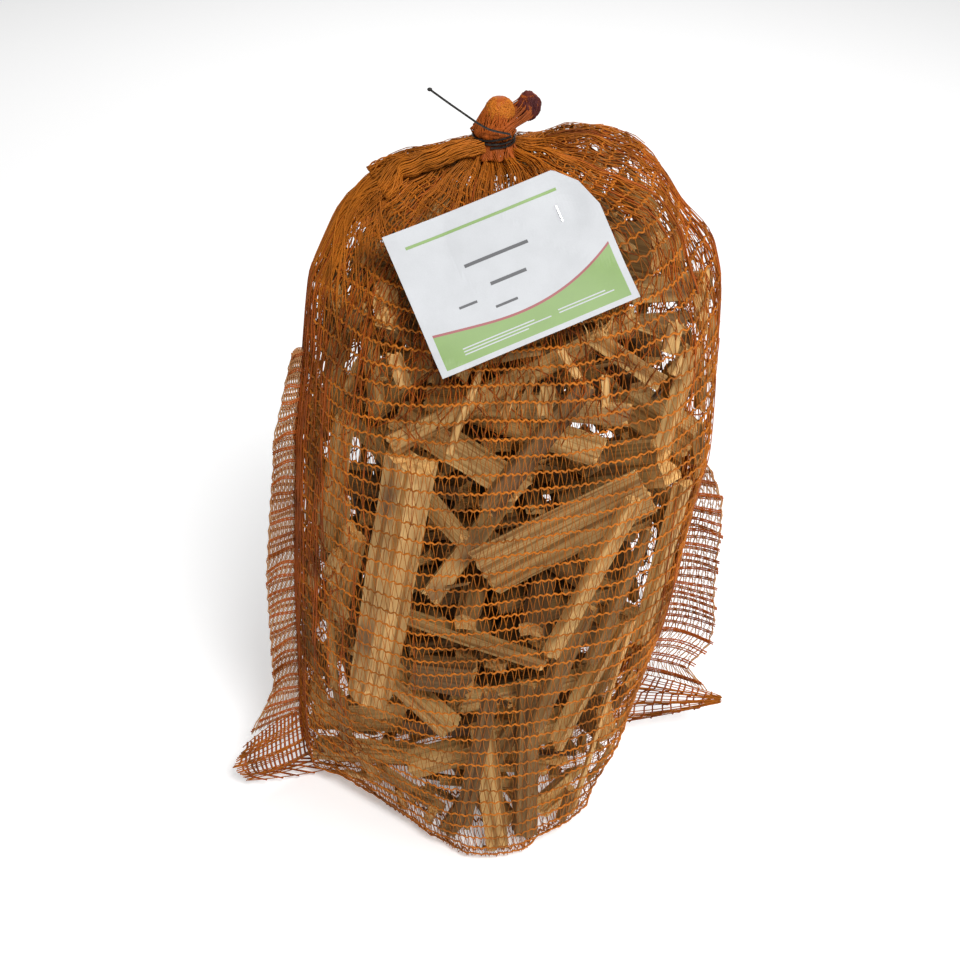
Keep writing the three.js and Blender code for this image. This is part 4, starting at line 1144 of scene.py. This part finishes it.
def flange_threads(node, hand, settings):
    """Straight rungs of the two sewn layers, half a row apart, with thin lines along the flange."""
    rows = flange_rows(node, hand)
    random = np.random.default_rng(71 if hand < 0 else 72)
    top, foot = rows[-1, 0], EAR_HEIGHT[hand] - 0.006
    count = int((top - foot) / settings.row_spacing)
    samples = 16
    rungs, radii = [], []
    for number in range(2 * count):
        layer = -1 if number % 2 else 1
        height = foot + (number + 0.5 + random.uniform(-0.22, 0.22)) * (top - foot) / (2 * count)
        width = abs(float(np.interp(height, rows[:, 0], rows[:, 2] - rows[:, 1])))
        share = np.linspace(-0.006 / max(width, 0.006), 1 + random.uniform(-0.04, 0.03), samples)
        slope = random.normal(0, 0.0012) * share + 0.0006 * np.sin(share * 5 + number)
        for line in (-1, 1):
            strand = flange_place(rows, height + slope + line * 0.00075, share)
            strand[:, 1] += layer * SEWN_GAP + 0.0022 * share * np.sin(height * 70 + share * 3)
            strand[:, 2] = np.clip(strand[:, 2], rows[0, 0] + 0.001, top)
            rungs.append(strand)
            radii.append(settings.chain_radius * (1.0 + 0.25 * np.sin(share * 34 + number)))
    ladder = front_threads(np.array(rungs), np.array(radii), sides=4)
    lines, thin = [], []
    long_samples = count * 3 + 1
    climb = np.linspace(foot, top, long_samples)
    width = np.abs(np.interp(climb, rows[:, 0], rows[:, 2] - rows[:, 1]))
    strands = 19
    for number in range(strands):
        for layer in (-1, 1):
            share = (number - 1.2) / (strands - 1.6) + 0.012 * layer
            sway = 0.0007 * np.sin(climb / settings.row_spacing * 2 * math.pi + number * 2.1 + layer)
            line = flange_place(rows, climb, share + sway / np.maximum(width, 0.006))
            line[:, 1] += layer * SEWN_GAP + 0.0022 * share * np.sin(climb * 70 + share * 3)
            lines.append(line)
            thickness = 1.9 if number == strands - 1 else 1.2
            thin.append(np.full(long_samples, settings.filament_radius * thickness))
    return ladder, front_threads(np.array(lines), np.array(thin), sides=3)


def ear_threads(node, hand, settings):
    """The bottom corner's ear: net drawn out to a tip, with rungs across it."""
    rows = flange_rows(node, hand)
    random = np.random.default_rng(75 if hand < 0 else 76)
    tip_height = float(rows[np.argmax(hand * rows[:, 2]), 0])
    tip = flange_place(rows, tip_height, 1.0) + np.array([hand * 0.004, 0, 0])
    blunt = 0.017 if hand < 0 else 0.0035
    fans, samples = 31, 20
    share = np.linspace(0, 1, samples)[:, None]
    paths = []
    for number in range(fans):
        rise = number / (fans - 1)
        start = flange_place(rows, rows[0, 0] + 0.002 + rise * EAR_HEIGHT[hand], 0.0)
        start = start - np.array([hand * 0.005, 0, 0])
        start[1] += random.uniform(-0.004, 0.003)
        end = tip + np.array([-hand * 0.6 * blunt * abs(2 * rise - 1), 0, (rise - 0.5) * 2 * blunt])
        end = end + random.normal(0, 0.0007, 3)
        bend = start * 0.5 + end * 0.5 + np.array([0, -0.004 + 0.006 * math.sin(number * 0.7),
                                                   0.010 * (rise - 0.5)])
        paths.append(start * (1 - share) ** 2 + 2 * bend * share * (1 - share) + end * share ** 2)
    paths = np.array(paths)
    paths[..., 2] = np.maximum(paths[..., 2], FLOOR_LIFT)
    fan = front_threads(paths, np.full(paths.shape[:2], settings.filament_radius * 1.5), sides=3)
    rungs = []
    count = 15
    for number in range(count):
        place = (0.05 + 0.90 * (number + 0.5) / count) * (samples - 1)
        low = int(place)
        part = place - low
        rung = paths[:, low] * (1 - part) + paths[:, min(low + 1, samples - 1)] * part
        rung = rung[::2] + np.array([0, -0.0012 if number % 2 else 0.0012, 0])
        rungs.append(rung)
    rungs = np.array(rungs)
    return fan, front_threads(rungs, np.full(rungs.shape[:2], settings.chain_radius * 1.15), sides=4)


def side_threads(surface, hand, top, settings):
    """Slack net beside a seam: a dense gather along the flange, and looser threads round the whole side."""
    random = np.random.default_rng(79 if hand < 0 else 80)
    seam = math.pi if hand < 0 else 0.0
    wall = slice(surface.BASE_ROWS, -surface.DOME_ROWS)
    heights = surface.grid[:, 0 if hand > 0 else surface.TURNS // 2, 2]
    flange_end = float(np.interp(top, heights[wall], surface.path[wall]))
    lines = []
    samples = 26
    for number in range(SIDE_THREADS):
        if number < BESIDE_FLANGE:
            low = random.uniform(surface.path[surface.BASE_ROWS], flange_end * 0.8)
            high = min(low + random.uniform(0.06, 0.16), flange_end + 0.02)
            turn = seam + random.normal(0, 0.065)
        else:
            low = random.uniform(surface.path[surface.BASE_ROWS] + 0.10, surface.path[-1] - 0.10)
            high = min(low + random.uniform(0.06, 0.15), surface.path[-1] - 0.02)
            turn = seam + random.normal(0.12, 0.36)
        path = np.linspace(low, high, samples)
        away = random.normal(0, 0.25) * (path - low)
        away = away + 0.020 * np.sin(path * random.uniform(20, 60) + random.uniform(0, 6))
        lines.append((*surface.at(path, turn + away, random.uniform(-0.0007, 0.0012)),
                      settings.filament_radius * random.uniform(1.0, 1.9)))
    return skin_threads(lines)


class SACK_OT_seams(bpy.types.Operator):
    """Makes the sewn side flanges with their bottom ears as open ladders of thread"""
    bl_idname = "kindling_sack.seams"
    bl_label = "Side seams"

    def execute(self, context):
        settings = context.scene.net_settings
        orange, layered, pale = net_materials()
        for node, hand in (("net_left_seam", -1), ("net_right_seam", 1)):
            ladder, verticals = flange_threads(node, hand, settings)
            fan, rungs = ear_threads(node, hand, settings)
            gather = side_threads(SACK["surface"], hand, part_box(node)[1][2], settings)
            # The slack gathered threads beside each seam take the darker layered rust: partly the colour of
            # bunched net, partly painted shade over the sack's sides.
            made = [(ladder, 0), (verticals, 1), (fan, 2), (rungs, 0), (gather, 0)]
            points, triangles = join_arrays([part for part, _ in made])
            indices = np.concatenate([np.full(len(part[1]), kind) for part, kind in made])
            name = node.replace("_seam", "_flange")
            finish_piece(mesh_piece(name, points, triangles, [layered, pale, orange], indices), node,
                         slot="net_fabric")
        return {"FINISHED"}


# ---------------------------------------------------------------------------
# Gathers, tuft and tie

def solid_copy(node, name, material, shrink, seed, folds):
    """A rounded copy of a gathered solid, merged, subdivided and pressed into folds."""
    bpy.ops.object.select_all(action="DESELECT")
    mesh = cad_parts[node].data.copy()
    mesh.name = name
    mesh.materials.clear()
    mesh.materials.append(material)
    piece = linked(name, mesh)
    bpy.context.view_layer.objects.active = piece
    piece.select_set(True)
    bpy.ops.object.mode_set(mode="EDIT")
    bpy.ops.mesh.select_all(action="SELECT")
    bpy.ops.mesh.remove_doubles(threshold=0.00002)
    bpy.ops.mesh.tris_convert_to_quads()
    bpy.ops.mesh.subdivide(number_cuts=1, smoothness=1.0)
    bpy.ops.mesh.subdivide(number_cuts=1, smoothness=0.6)
    bpy.ops.object.mode_set(mode="OBJECT")
    low, high = box_ends(node)
    middle = (low + high) / 2
    flat = np.empty(len(mesh.vertices) * 3)
    mesh.vertices.foreach_get("co", flat)
    points = flat.reshape(-1, 3)
    offset = points - middle
    turn = np.arctan2(offset[:, 1], offset[:, 0])
    fold = np.sin(folds * turn + offset[:, 2] * 180 + 0.8 * np.sin(4 * turn + seed))
    points[:, :2] = middle[:2] + offset[:, :2] * (shrink + 0.035 * fold)[:, None]
    points[:, 2] = middle[2] + offset[:, 2] * (shrink + 0.02)
    mesh.vertices.foreach_set("co", points.ravel())
    mesh.update()
    bpy.ops.object.shade_smooth_by_angle(angle=math.radians(60))
    return piece


def gathered_rope(surface, settings):
    """Threads drawn together from the left shoulder to the neck, lying over the net."""
    points = node_points("net_shoulder_gather")
    centre = points.mean(axis=0)
    along = np.linalg.svd(points - centre, full_matrices=False)[2][0]
    along = along * np.sign(along[0])
    order = np.argsort((points - centre) @ along)
    line = np.array([part.mean(axis=0) for part in np.array_split(points[order], 9)])
    samples, threads = 34, 105
    random = np.random.default_rng(83)
    neck_low, neck_high = box_ends("net_neck_gather")
    neck = (neck_low + neck_high) / 2
    root = line[0] - unit(line[1] - line[0]) * 0.012 - np.array([0, 0, 0.003])
    spine = np.concatenate([root[None], line, [[neck[0] - 0.007, neck[1] - 0.006, neck_low[2] + 0.003]]])
    measured = np.concatenate([[0], np.cumsum(np.linalg.norm(np.diff(spine, axis=0), axis=1))])
    place = np.linspace(0, measured[-1], samples)
    path = np.stack([np.interp(place, measured, spine[:, k]) for k in range(3)], -1)
    path = smoothed(path, 4)
    tangent = unit(np.gradient(path, axis=0))
    upward = unit(np.array([0.0, -0.35, 1.0]) - (tangent @ np.array([0.0, -0.35, 1.0]))[:, None] * tangent)
    sideways = np.cross(tangent, upward)
    share = np.linspace(0, 1, samples)
    spread = 1.15 + 1.5 * (1 - smoothstep(0.0, 0.42, share))
    flat = 1 - 0.5 * (1 - smoothstep(0.0, 0.30, share))
    centres, radii = [], []
    for _ in range(threads):
        turn = random.uniform(0, 2 * math.pi) + share * random.uniform(0.8, 2.6)
        reach = 0.0056 * math.sqrt(random.uniform(0.25, 1))
        reach = reach * (1 + 0.10 * np.sin(share * 30 + random.uniform(0, 6)))
        across = sideways * (reach * spread * np.cos(turn))[:, None]
        centres.append(path + across + upward * (reach * flat * np.sin(turn))[:, None])
        radii.append(np.full(samples, settings.filament_radius * random.uniform(1.0, 1.9)))
    outward = np.broadcast_to(upward, (threads, samples, 3))
    return join_arrays([
        thread_mesh(np.array(centres), np.array(radii), outward, sides=3),
        shoulder_fan(surface, path[0], settings)])


def shoulder_fan(surface, root, settings):
    """Where the rope ends, its threads spread out over the shoulder and join the net."""
    random = np.random.default_rng(87)
    turn = math.atan2(root[1] - surface.seam_y, root[0] - surface.middle[0]) % (2 * math.pi)
    column = int(turn / (2 * math.pi) * surface.TURNS) % surface.TURNS
    path = surface.path[np.argmin(np.linalg.norm(surface.grid[:, column] - root, axis=1))]
    lines = []
    threads, samples = 150, 18
    share = np.linspace(0, 1, samples)
    for _ in range(threads):
        length, swing = random.uniform(0.025, 0.095), random.normal(0.05, 0.30)
        line_turn = turn + random.normal(0, 0.07) + swing * share ** 1.3
        line_path = path + random.uniform(-0.002, 0.016) - length * share
        lift = 0.0062 * (1 - share) ** 2 * random.uniform(0.15, 1.0) + 0.0005
        lines.append((*surface.at(line_path, line_turn, lift),
                      settings.filament_radius * random.uniform(0.9, 1.5)))
    return skin_threads(lines)


def neck_threads(settings):
    """Pleated threads from the neck's foot up through the tie."""
    low, high = box_ends("net_neck_gather")
    middle = (low + high) / 2
    height = high[2] - low[2]
    random = np.random.default_rng(91)
    threads, samples = 130, 16
    share = np.linspace(-0.25, 1.12, samples)
    profile = np.interp(share, [-0.25, 0, 0.38, 0.62, 0.92, 1.12],
                        [0.0165, 0.0137, 0.0110, 0.0110, 0.0137, 0.0112])
    centres = []
    for number in range(threads):
        turn = 2 * math.pi * number / threads + 0.25 * share + 0.03 * np.sin(share * 9 + number)
        radius = profile * (0.94 + 0.07 * np.sin(11 * turn)) * random.uniform(0.97, 1.03)
        centres.append(np.stack([middle[0] + radius * np.cos(turn), middle[1] + radius * np.sin(turn),
                                 low[2] + height * share], -1))
    centres = np.array(centres)
    outward = centres - middle
    outward[..., 2] = 0
    radii = np.full((threads, samples), settings.filament_radius * 1.25)
    return thread_mesh(centres, radii, unit(outward), sides=4)


def pleat_threads(surface, settings):
    """Threads drawn together towards the neck, lying on the net, closer together where it is gathered."""
    random = np.random.default_rng(97)
    threads, samples = 400, 14
    lines = []
    for _ in range(threads):
        start = random.uniform(0, 2 * math.pi)
        length = random.uniform(0.030, 0.105)
        path = np.linspace(surface.path[-1] - length, surface.path[-1] - 0.0006, samples)
        turn = start + random.normal(0, 0.10) * np.linspace(1, 0, samples) ** 2
        turn = turn + 0.02 * np.sin(path * 300 + start)
        out = fold_out(surface, path, turn) + random.uniform(0.0004, 0.0022)
        lines.append((*surface.at(path, turn, out), settings.filament_radius * random.uniform(0.8, 1.3)))
    return skin_threads(lines)


def folded_threads(surface, settings):
    """Net folded inwards under the shoulders and along the sides, where there is more than lies flat."""
    random = np.random.default_rng(98)
    samples = 10
    lines = []
    for number in range(FOLDED_THREADS):
        low, high = FOLDED_SHOULDER if number < UNDER_SHOULDERS else FOLDED_SIDE
        start = surface.path[-1] * random.uniform(low, high)
        length = random.uniform(0.025, 0.060)
        path = np.linspace(start, min(start + length, surface.path[-1] - 0.001), samples)
        if number < UNDER_SHOULDERS:
            turn = random.uniform(0, 2 * math.pi)
        else:
            turn = random.choice([0, math.pi]) + random.normal(0.12, 0.22)
        turn = turn + random.normal(0, 0.16) * np.linspace(0, 1, samples) + 0.03 * np.sin(path * 220 + number)
        lines.append((*surface.at(path, turn, -random.uniform(0.0010, 0.0065)),
                      settings.filament_radius * random.uniform(1.1, 2.3)))
    return skin_threads(lines)


def skirt_threads(settings):
    """Threads that rise out of the tie and spread into the two lobes."""
    random = np.random.default_rng(101)
    low, high = box_ends("net_neck_gather")
    neck = (low + high) / 2
    centres = []
    samples = 14
    for node, threads in (("net_tuft_lobe", 130), ("net_tuft_twist", 90)):
        lobe_low, lobe_high = box_ends(node)
        lobe, half = (lobe_low + lobe_high) / 2, (lobe_high - lobe_low) / 2
        for _ in range(threads):
            turn = random.uniform(0, 2 * math.pi)
            foot = np.array([neck[0] + 0.0105 * math.cos(turn), neck[1] + 0.0105 * math.sin(turn),
                             low[2] + 0.006])
            bend = foot + np.array([0.0015 * math.cos(turn), 0.0015 * math.sin(turn), 0.007])
            side = turn + random.normal(0, 0.4)
            rim = lobe + half * np.array([math.cos(side) * 0.97, math.sin(side) * 0.97,
                                          random.uniform(-0.5, 0.25)])
            crown = lobe + half * np.array([math.cos(side) * 0.45, math.sin(side) * 0.45, 0.86])
            knots = np.array([foot, bend, rim, crown])
            place = np.linspace(0, 3, samples)
            line = np.stack([np.interp(place, np.arange(4), knots[:, k]) for k in range(3)], -1)
            centres.append(smoothed(line, 2))
    centres = np.array(centres)
    radii = np.full(centres.shape[:2], settings.filament_radius * 1.35)
    outward = centres - np.array([neck[0] + 0.006, neck[1], high[2]])
    return thread_mesh(centres, radii, unit(outward), sides=4)


def lobe_threads(node, seed, loops, slope, settings):
    """Loops of thread wound over a lobe of the tuft."""
    low, high = box_ends(node)
    middle, half = (low + high) / 2, (high - low) / 2
    random = np.random.default_rng(seed)
    samples = 30
    share = np.linspace(0, 2 * math.pi * 0.985, samples)
    centres = []
    for _ in range(loops):
        pole = unit(np.array([random.normal(), random.normal(), random.normal() * slope]))
        one = unit(np.cross(pole, [0.3, 0.5, 0.8]))
        two = np.cross(pole, one)
        tilt = random.uniform(-0.75, 0.75)
        ring = math.sqrt(1 - tilt * tilt)
        ball = pole * tilt + ring * (np.cos(share)[:, None] * one + np.sin(share)[:, None] * two)
        lump = ripple(seed, ball[:, 0] * 1.3, ball[:, 1] * 1.3, ball[:, 2] * 1.3)
        bumpy = 0.92 + 0.10 * lump + 0.05 * np.sin(6 * share + random.uniform(0, 6))
        centres.append(middle + ball * half * bumpy[:, None] * random.uniform(0.93, 1.02))
    centres = np.array(centres)
    radii = np.full((loops, samples), settings.filament_radius * 1.35)
    return thread_mesh(centres, radii, unit(centres - middle), sides=4)


class SACK_OT_gathers(bpy.types.Operator):
    """Makes the shoulder gather, the pleated neck and the two lobes of the tuft"""
    bl_idname = "kindling_sack.gathers"
    bl_label = "Gathers and tuft"

    def execute(self, context):
        settings = context.scene.net_settings
        orange, layered, _ = net_materials()
        maroon = net_material("maroon_net", (0.13, 0.022, 0.014), (0.05, 0.010, 0.012))
        rope = mesh_piece("shoulder_gather_threads", *gathered_rope(SACK["surface"], settings), [orange])
        finish_piece(rope, "net_shoulder_gather", slot="net_fabric")
        finish_piece(solid_copy("net_neck_gather", "neck_core", layered, 0.9, 1.0, 13), "net_neck_gather",
                     slot="net_fabric")
        finish_piece(mesh_piece("neck_threads", *neck_threads(settings), [layered]), slot="net_fabric")
        pleats = mesh_piece("neck_pleats", *pleat_threads(SACK["surface"], settings), [orange])
        finish_piece(pleats, slot="net_fabric")
        folds = mesh_piece("folded_net", *folded_threads(SACK["surface"], settings), [layered])
        finish_piece(folds, slot="net_fabric")
        finish_piece(mesh_piece("tuft_skirt", *skirt_threads(settings), [layered]), slot="net_fabric")
        for node, seed, material, slope in (("net_tuft_lobe", 5, orange, 1.0),
                                            ("net_tuft_twist", 6, maroon, 0.3)):
            name = node.replace("net_", "")
            finish_piece(solid_copy(node, f"{name}_core", layered, 0.9, seed, 7), node, slot="net_fabric")
            threads = mesh_piece(f"{name}_threads", *lobe_threads(node, seed, 120, slope, settings),
                                 [material])
            finish_piece(threads, slot="net_fabric")
        return {"FINISHED"}


class SACK_OT_tie(bpy.types.Operator):
    """Finishes the tie wire and gives its straight end a small bead"""
    bl_idname = "kindling_sack.tie"
    bl_label = "Tie wire"

    def execute(self, context):
        dark = metal_material("dark_wire", (0.012, 0.011, 0.010), (0.045, 0.040, 0.036), 0.4, 0.6)
        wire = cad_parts["tie_wire"]
        for place in wire.material_slots:
            place.material = dark
        points = node_points("tie_wire")
        tip = points[np.argsort(points[:, 0])[:6]].mean(axis=0)
        bpy.ops.object.select_all(action="DESELECT")
        bpy.ops.mesh.primitive_uv_sphere_add(segments=16, ring_count=10, radius=0.0013, location=tuple(tip))
        bead = context.active_object
        bead.name = "wire_end_bead"
        bpy.ops.object.mode_set(mode="EDIT")
        bpy.ops.mesh.select_all(action="SELECT")
        bpy.ops.transform.resize(value=(1.15, 0.95, 0.85))
        bpy.ops.mesh.select_all(action="DESELECT")
        bpy.ops.object.mode_set(mode="OBJECT")
        bpy.ops.object.transform_apply(location=True, rotation=True, scale=True)
        bpy.ops.object.shade_smooth_by_angle(angle=math.radians(60))
        bead.data.materials.append(dark)
        finish_piece(bead, slot="tie_wire")
        return {"FINISHED"}


# ---------------------------------------------------------------------------
# The tag

class TagPlace:
    """The tag's own plane: the directions along its long side, up its short side and out of the paper."""

    def __init__(self):
        points = node_points("paper_tag")
        centre = points.mean(axis=0)
        self.out = np.linalg.svd(points - centre, full_matrices=False)[2][2]
        self.out *= np.sign(self.out[2])
        one = np.linalg.svd(points - centre, full_matrices=False)[2][0]
        two = np.cross(self.out, one)
        best = None
        for angle in np.linspace(0, math.pi / 2, 721):
            right = one * math.cos(angle) + two * math.sin(angle)
            up = np.cross(self.out, right)
            spans = [np.ptp(points @ right), np.ptp(points @ up)]
            if best is None or spans[0] * spans[1] < best[0]:
                best = (spans[0] * spans[1], right, up)
        self.right, self.up = best[1], best[2]
        if np.ptp(points @ self.right) < np.ptp(points @ self.up):
            self.right, self.up = self.up, -self.right
        if self.right[0] < 0:
            self.right, self.up = -self.right, -self.up
        self.low = np.array([(points @ axis).min() for axis in (self.right, self.up, self.out)])
        self.high = np.array([(points @ axis).max() for axis in (self.right, self.up, self.out)])

        staple = box_middle("tag_staple")
        span = self.high - self.low
        self.pinned = [(staple @ axis - self.low[k]) / span[k]
                       for k, axis in enumerate((self.right, self.up))]

    def place(self, across, up, out=0.0, curl=0.0):
        """A point from shares across and up the tag, a distance off its back face, on the bent paper."""
        across, up, out = np.broadcast_arrays(across, up, out)
        bent = curl * (0.35 * (2 * across - 1) ** 2 * (2 * up - 0.4)) + 0.0006 * np.sin(5 * across + 4 * up)
        near = ((across - self.pinned[0]) / 0.13) ** 2 + ((up - self.pinned[1]) / 0.19) ** 2
        bent = bent * (1 - np.exp(-near ** 1.5))
        x = self.low[0] + across * (self.high[0] - self.low[0])
        y = self.low[1] + up * (self.high[1] - self.low[1])
        z = self.low[2] + out + np.abs(bent)
        return x[..., None] * self.right + y[..., None] * self.up + z[..., None] * self.out


def paper_top(across):
    """The tag's upper edge as a share of its height: straight, then the cut corner."""
    return np.interp(across, [0, 0.856, 0.95, 1.0], [1.0, 1.0, 0.867, 0.672])


def band_top(across):
    """The green band's hollow upper edge."""
    hollow = 0.115 * np.sin(np.clip(across, 0, 1) * math.pi * 0.55)
    return 0.27 - hollow + 0.50 * np.clip(across - 0.25, 0, 1) ** 2.3


def tag_sheet(place, curl):
    """The paper with its border, band and line as faces of their own, and a thickness."""
    columns = 60
    across = np.linspace(0, 1, columns + 1)
    border = 0.035
    inner = np.clip((across - border * 0.7) / (1 - border * 1.4), 0, 1)
    top = paper_top(across)
    band = np.minimum(band_top(inner), top - 0.02)
    line = np.minimum(band + 0.017, top - 0.01)
    levels, kinds = [0 * across], []
    for low, high, steps, kind in ((0 * across, 0 * across + border, 1, 0), (0 * across + border, band, 6, 1),
                                   (band, line, 1, 2), (line, top, 12, 0)):
        for step in range(1, steps + 1):
            levels.append(low + (high - low) * step / steps)
            kinds.append(kind)
    across_grid = np.broadcast_to(across, (len(levels), columns + 1))
    up_grid = np.array(levels)
    parts = []
    for out in (0.0005, 0.0):
        parts.append(place.place(across_grid, up_grid, out, curl).reshape(-1, 3))
    points = np.concatenate(parts)
    rows = len(levels)
    number = np.arange(rows * (columns + 1)).reshape(rows, columns + 1)
    under = number + rows * (columns + 1)
    triangles, indices = [], []

    def quad(a, b, c, d, kind):
        triangles.extend([[a, b, c], [a, c, d]])
        indices.extend([kind, kind])

    for i in range(rows - 1):
        for j in range(columns):
            edge = across[j] < border * 0.65 or across[j + 1] > 1 - border * 0.65
            printed = 0 if edge else kinds[i]
            quad(number[i, j], number[i, j + 1], number[i + 1, j + 1], number[i + 1, j], printed)
            quad(under[i, j], under[i + 1, j], under[i + 1, j + 1], under[i, j + 1], 0)
    for j in range(columns):
        quad(number[0, j], under[0, j], under[0, j + 1], number[0, j + 1], 0)
        quad(number[-1, j], number[-1, j + 1], under[-1, j + 1], under[-1, j], 0)
    for i in range(rows - 1):
        quad(number[i, 0], number[i + 1, 0], under[i + 1, 0], under[i, 0], 0)
        quad(number[i, -1], under[i, -1], under[i + 1, -1], number[i + 1, -1], 0)
    return points, np.array(triangles), np.array(indices)


def tag_bars(place, curl):
    """Plain bars where the tag is printed: no lettering."""
    # Left, right, foot and top as shares of the tag, then ink (0), green (1) or paper (2)
    bars = [
        (0.08, 0.84, 0.865, 0.885, 1), (0.30, 0.62, 0.615, 0.638, 0), (0.38, 0.56, 0.445, 0.468, 0),
        (0.20, 0.29, 0.375, 0.392, 0), (0.36, 0.47, 0.295, 0.312, 0),
        (0.14, 0.50, 0.125, 0.133, 2), (0.14, 0.58, 0.105, 0.113, 2), (0.14, 0.46, 0.085, 0.093, 2),
        (0.62, 0.90, 0.105, 0.113, 2), (0.62, 0.86, 0.125, 0.133, 2),
    ]
    parts, kinds = [], []
    for left, right, low, high, kind in bars:
        samples = 12
        across = np.linspace(left, right, samples)
        faces = []
        points = []
        for out in (0.00062, 0.00046):
            for up in (low, high):
                points.append(place.place(across, np.full(samples, up), out, curl))
        points = np.concatenate(points)
        a, b, c, d = (np.arange(samples) + k * samples for k in range(4))
        for j in range(samples - 1):
            for p, q, r, s in ((a[j], a[j + 1], b[j + 1], b[j]), (c[j], d[j], d[j + 1], c[j + 1]),
                               (a[j], c[j], c[j + 1], a[j + 1]), (b[j], b[j + 1], d[j + 1], d[j])):
                faces += [[p, q, r], [p, r, s]]
        faces += [[a[0], b[0], d[0]], [a[0], d[0], c[0]], [a[-1], c[-1], d[-1]], [a[-1], d[-1], b[-1]]]
        parts.append((points, np.array(faces)))
        kinds += [kind] * len(faces)
    points, triangles = join_arrays(parts)
    return points, triangles, np.array(kinds)


class SACK_OT_tag(bpy.types.Operator):
    """Makes the bent paper tag with its green band, its plain bars and its staple"""
    bl_idname = "kindling_sack.tag"
    bl_label = "Paper tag"

    def execute(self, context):
        settings = context.scene.tag_settings
        place = TagPlace()
        paper = paper_material("tag_paper", tuple(settings.paper))
        band = paper_material("tag_band", tuple(settings.band), 0.45)
        line = paper_material("tag_line", tuple(settings.line), 0.45)
        ink = paper_material("tag_ink", (0.055, 0.055, 0.06), 0.5)
        points, triangles, indices = tag_sheet(place, settings.curl)
        sheet = mesh_piece("tag_sheet", points, triangles, [paper, band, line], indices, smooth=False)
        finish_piece(sheet, "paper_tag", slot="tag_paper")
        points, triangles, indices = tag_bars(place, settings.curl)
        bars = mesh_piece("tag_bars", points, triangles, [ink, band, paper], indices, smooth=False)
        finish_piece(bars, slot="tag_paper")
        steel = metal_material("staple_steel", (0.42, 0.42, 0.43), (0.68, 0.68, 0.69), 0.3, 1.0)
        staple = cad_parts["tag_staple"]
        for slot in staple.material_slots:
            slot.material = steel
        return {"FINISHED"}


# ---------------------------------------------------------------------------
# Stage

# Degrees round from the front and up, metres from the target, and the lens in millimetres
VIEW = {"azimuth": -10, "elevation": 35, "distance": 1.010, "lens": 54.375,
        "target": (0.00515, 0.01097, 0.255)}


def aim(thing, target):
    direction = Vector(target) - thing.location
    thing.rotation_euler = direction.to_track_quat("-Z", "Y").to_euler()


def area_light(name, place, target, size, power):
    light = bpy.data.lights.new(name, "AREA")
    light.shape = "DISK"
    light.size = size
    light.energy = power
    lamp = linked(name, light)
    lamp.location = place
    aim(lamp, target)


class SACK_OT_stage(bpy.types.Operator):
    """Sets the camera, the pale floor and the soft lights"""
    bl_idname = "kindling_sack.stage"
    bl_label = "Stage"

    def execute(self, context):
        azimuth, elevation = math.radians(VIEW["azimuth"]), math.radians(VIEW["elevation"])
        target = Vector(VIEW["target"])
        away = Vector((math.sin(azimuth) * math.cos(elevation), -math.cos(azimuth) * math.cos(elevation),
                       math.sin(elevation)))
        lens = bpy.data.cameras.new("view")
        lens.lens = VIEW["lens"]
        lens.sensor_width = 36
        camera = linked("view", lens)
        camera.location = target + away * VIEW["distance"]
        aim(camera, target)
        context.scene.camera = camera
        bpy.ops.object.select_all(action="DESELECT")
        bpy.ops.mesh.primitive_plane_add(size=14, location=(0, 0, -0.0002))
        floor = context.active_object
        floor.name = "floor"
        floor.data.materials.append(floor_material())
        middle = (0, 0, 0.25)
        area_light("key", (0.30, -1.5, 2.1), middle, 0.75, 45)
        area_light("fill", (1.7, -1.0, 1.3), middle, 1.5, 15)
        area_light("rim", (0.3, 1.7, 1.6), middle, 1.5, 14)
        world = bpy.data.worlds.new("studio")
        world.use_nodes = True
        background = world.node_tree.nodes["Background"]
        background.inputs["Color"].default_value = (1, 1, 1, 1)
        background.inputs["Strength"].default_value = 0.24
        context.scene.world = world
        context.scene.view_settings.view_transform = "Standard"
        return {"FINISHED"}


# ---------------------------------------------------------------------------
# Panel and registration

STEPS = (SACK_OT_stage, SACK_OT_kindling, SACK_OT_filling, SACK_OT_net, SACK_OT_seams, SACK_OT_gathers,
         SACK_OT_tie, SACK_OT_tag)


class SACK_PT_panel(bpy.types.Panel):
    """Lists the sack's settings and its steps"""
    bl_idname = "SACK_PT_panel"
    bl_label = "Kindling sack"
    bl_space_type = "VIEW_3D"
    bl_region_type = "UI"
    bl_category = "Kindling sack"

    def draw(self, context):
        for name in ("net_settings", "kindling_settings", "tag_settings"):
            settings = getattr(context.scene, name)
            box = self.layout.box()
            for key in settings.bl_rna.properties.keys():
                if key not in ("rna_type", "name"):
                    box.prop(settings, key)
        for step in STEPS:
            self.layout.operator(step.bl_idname)


CLASSES = (NetSettings, KindlingSettings, TagSettings, *STEPS, SACK_PT_panel)


def register():
    for item in CLASSES:
        bpy.utils.register_class(item)
    bpy.types.Scene.net_settings = bpy.props.PointerProperty(type=NetSettings)
    bpy.types.Scene.kindling_settings = bpy.props.PointerProperty(type=KindlingSettings)
    bpy.types.Scene.tag_settings = bpy.props.PointerProperty(type=TagSettings)


def unregister():
    del bpy.types.Scene.tag_settings
    del bpy.types.Scene.kindling_settings
    del bpy.types.Scene.net_settings
    for item in reversed(CLASSES):
        bpy.utils.unregister_class(item)


def main():
    register()
    for step in STEPS:
        group, name = step.bl_idname.split(".")
        getattr(getattr(bpy.ops, group), name)()


if __name__ == "__main__":
    main()
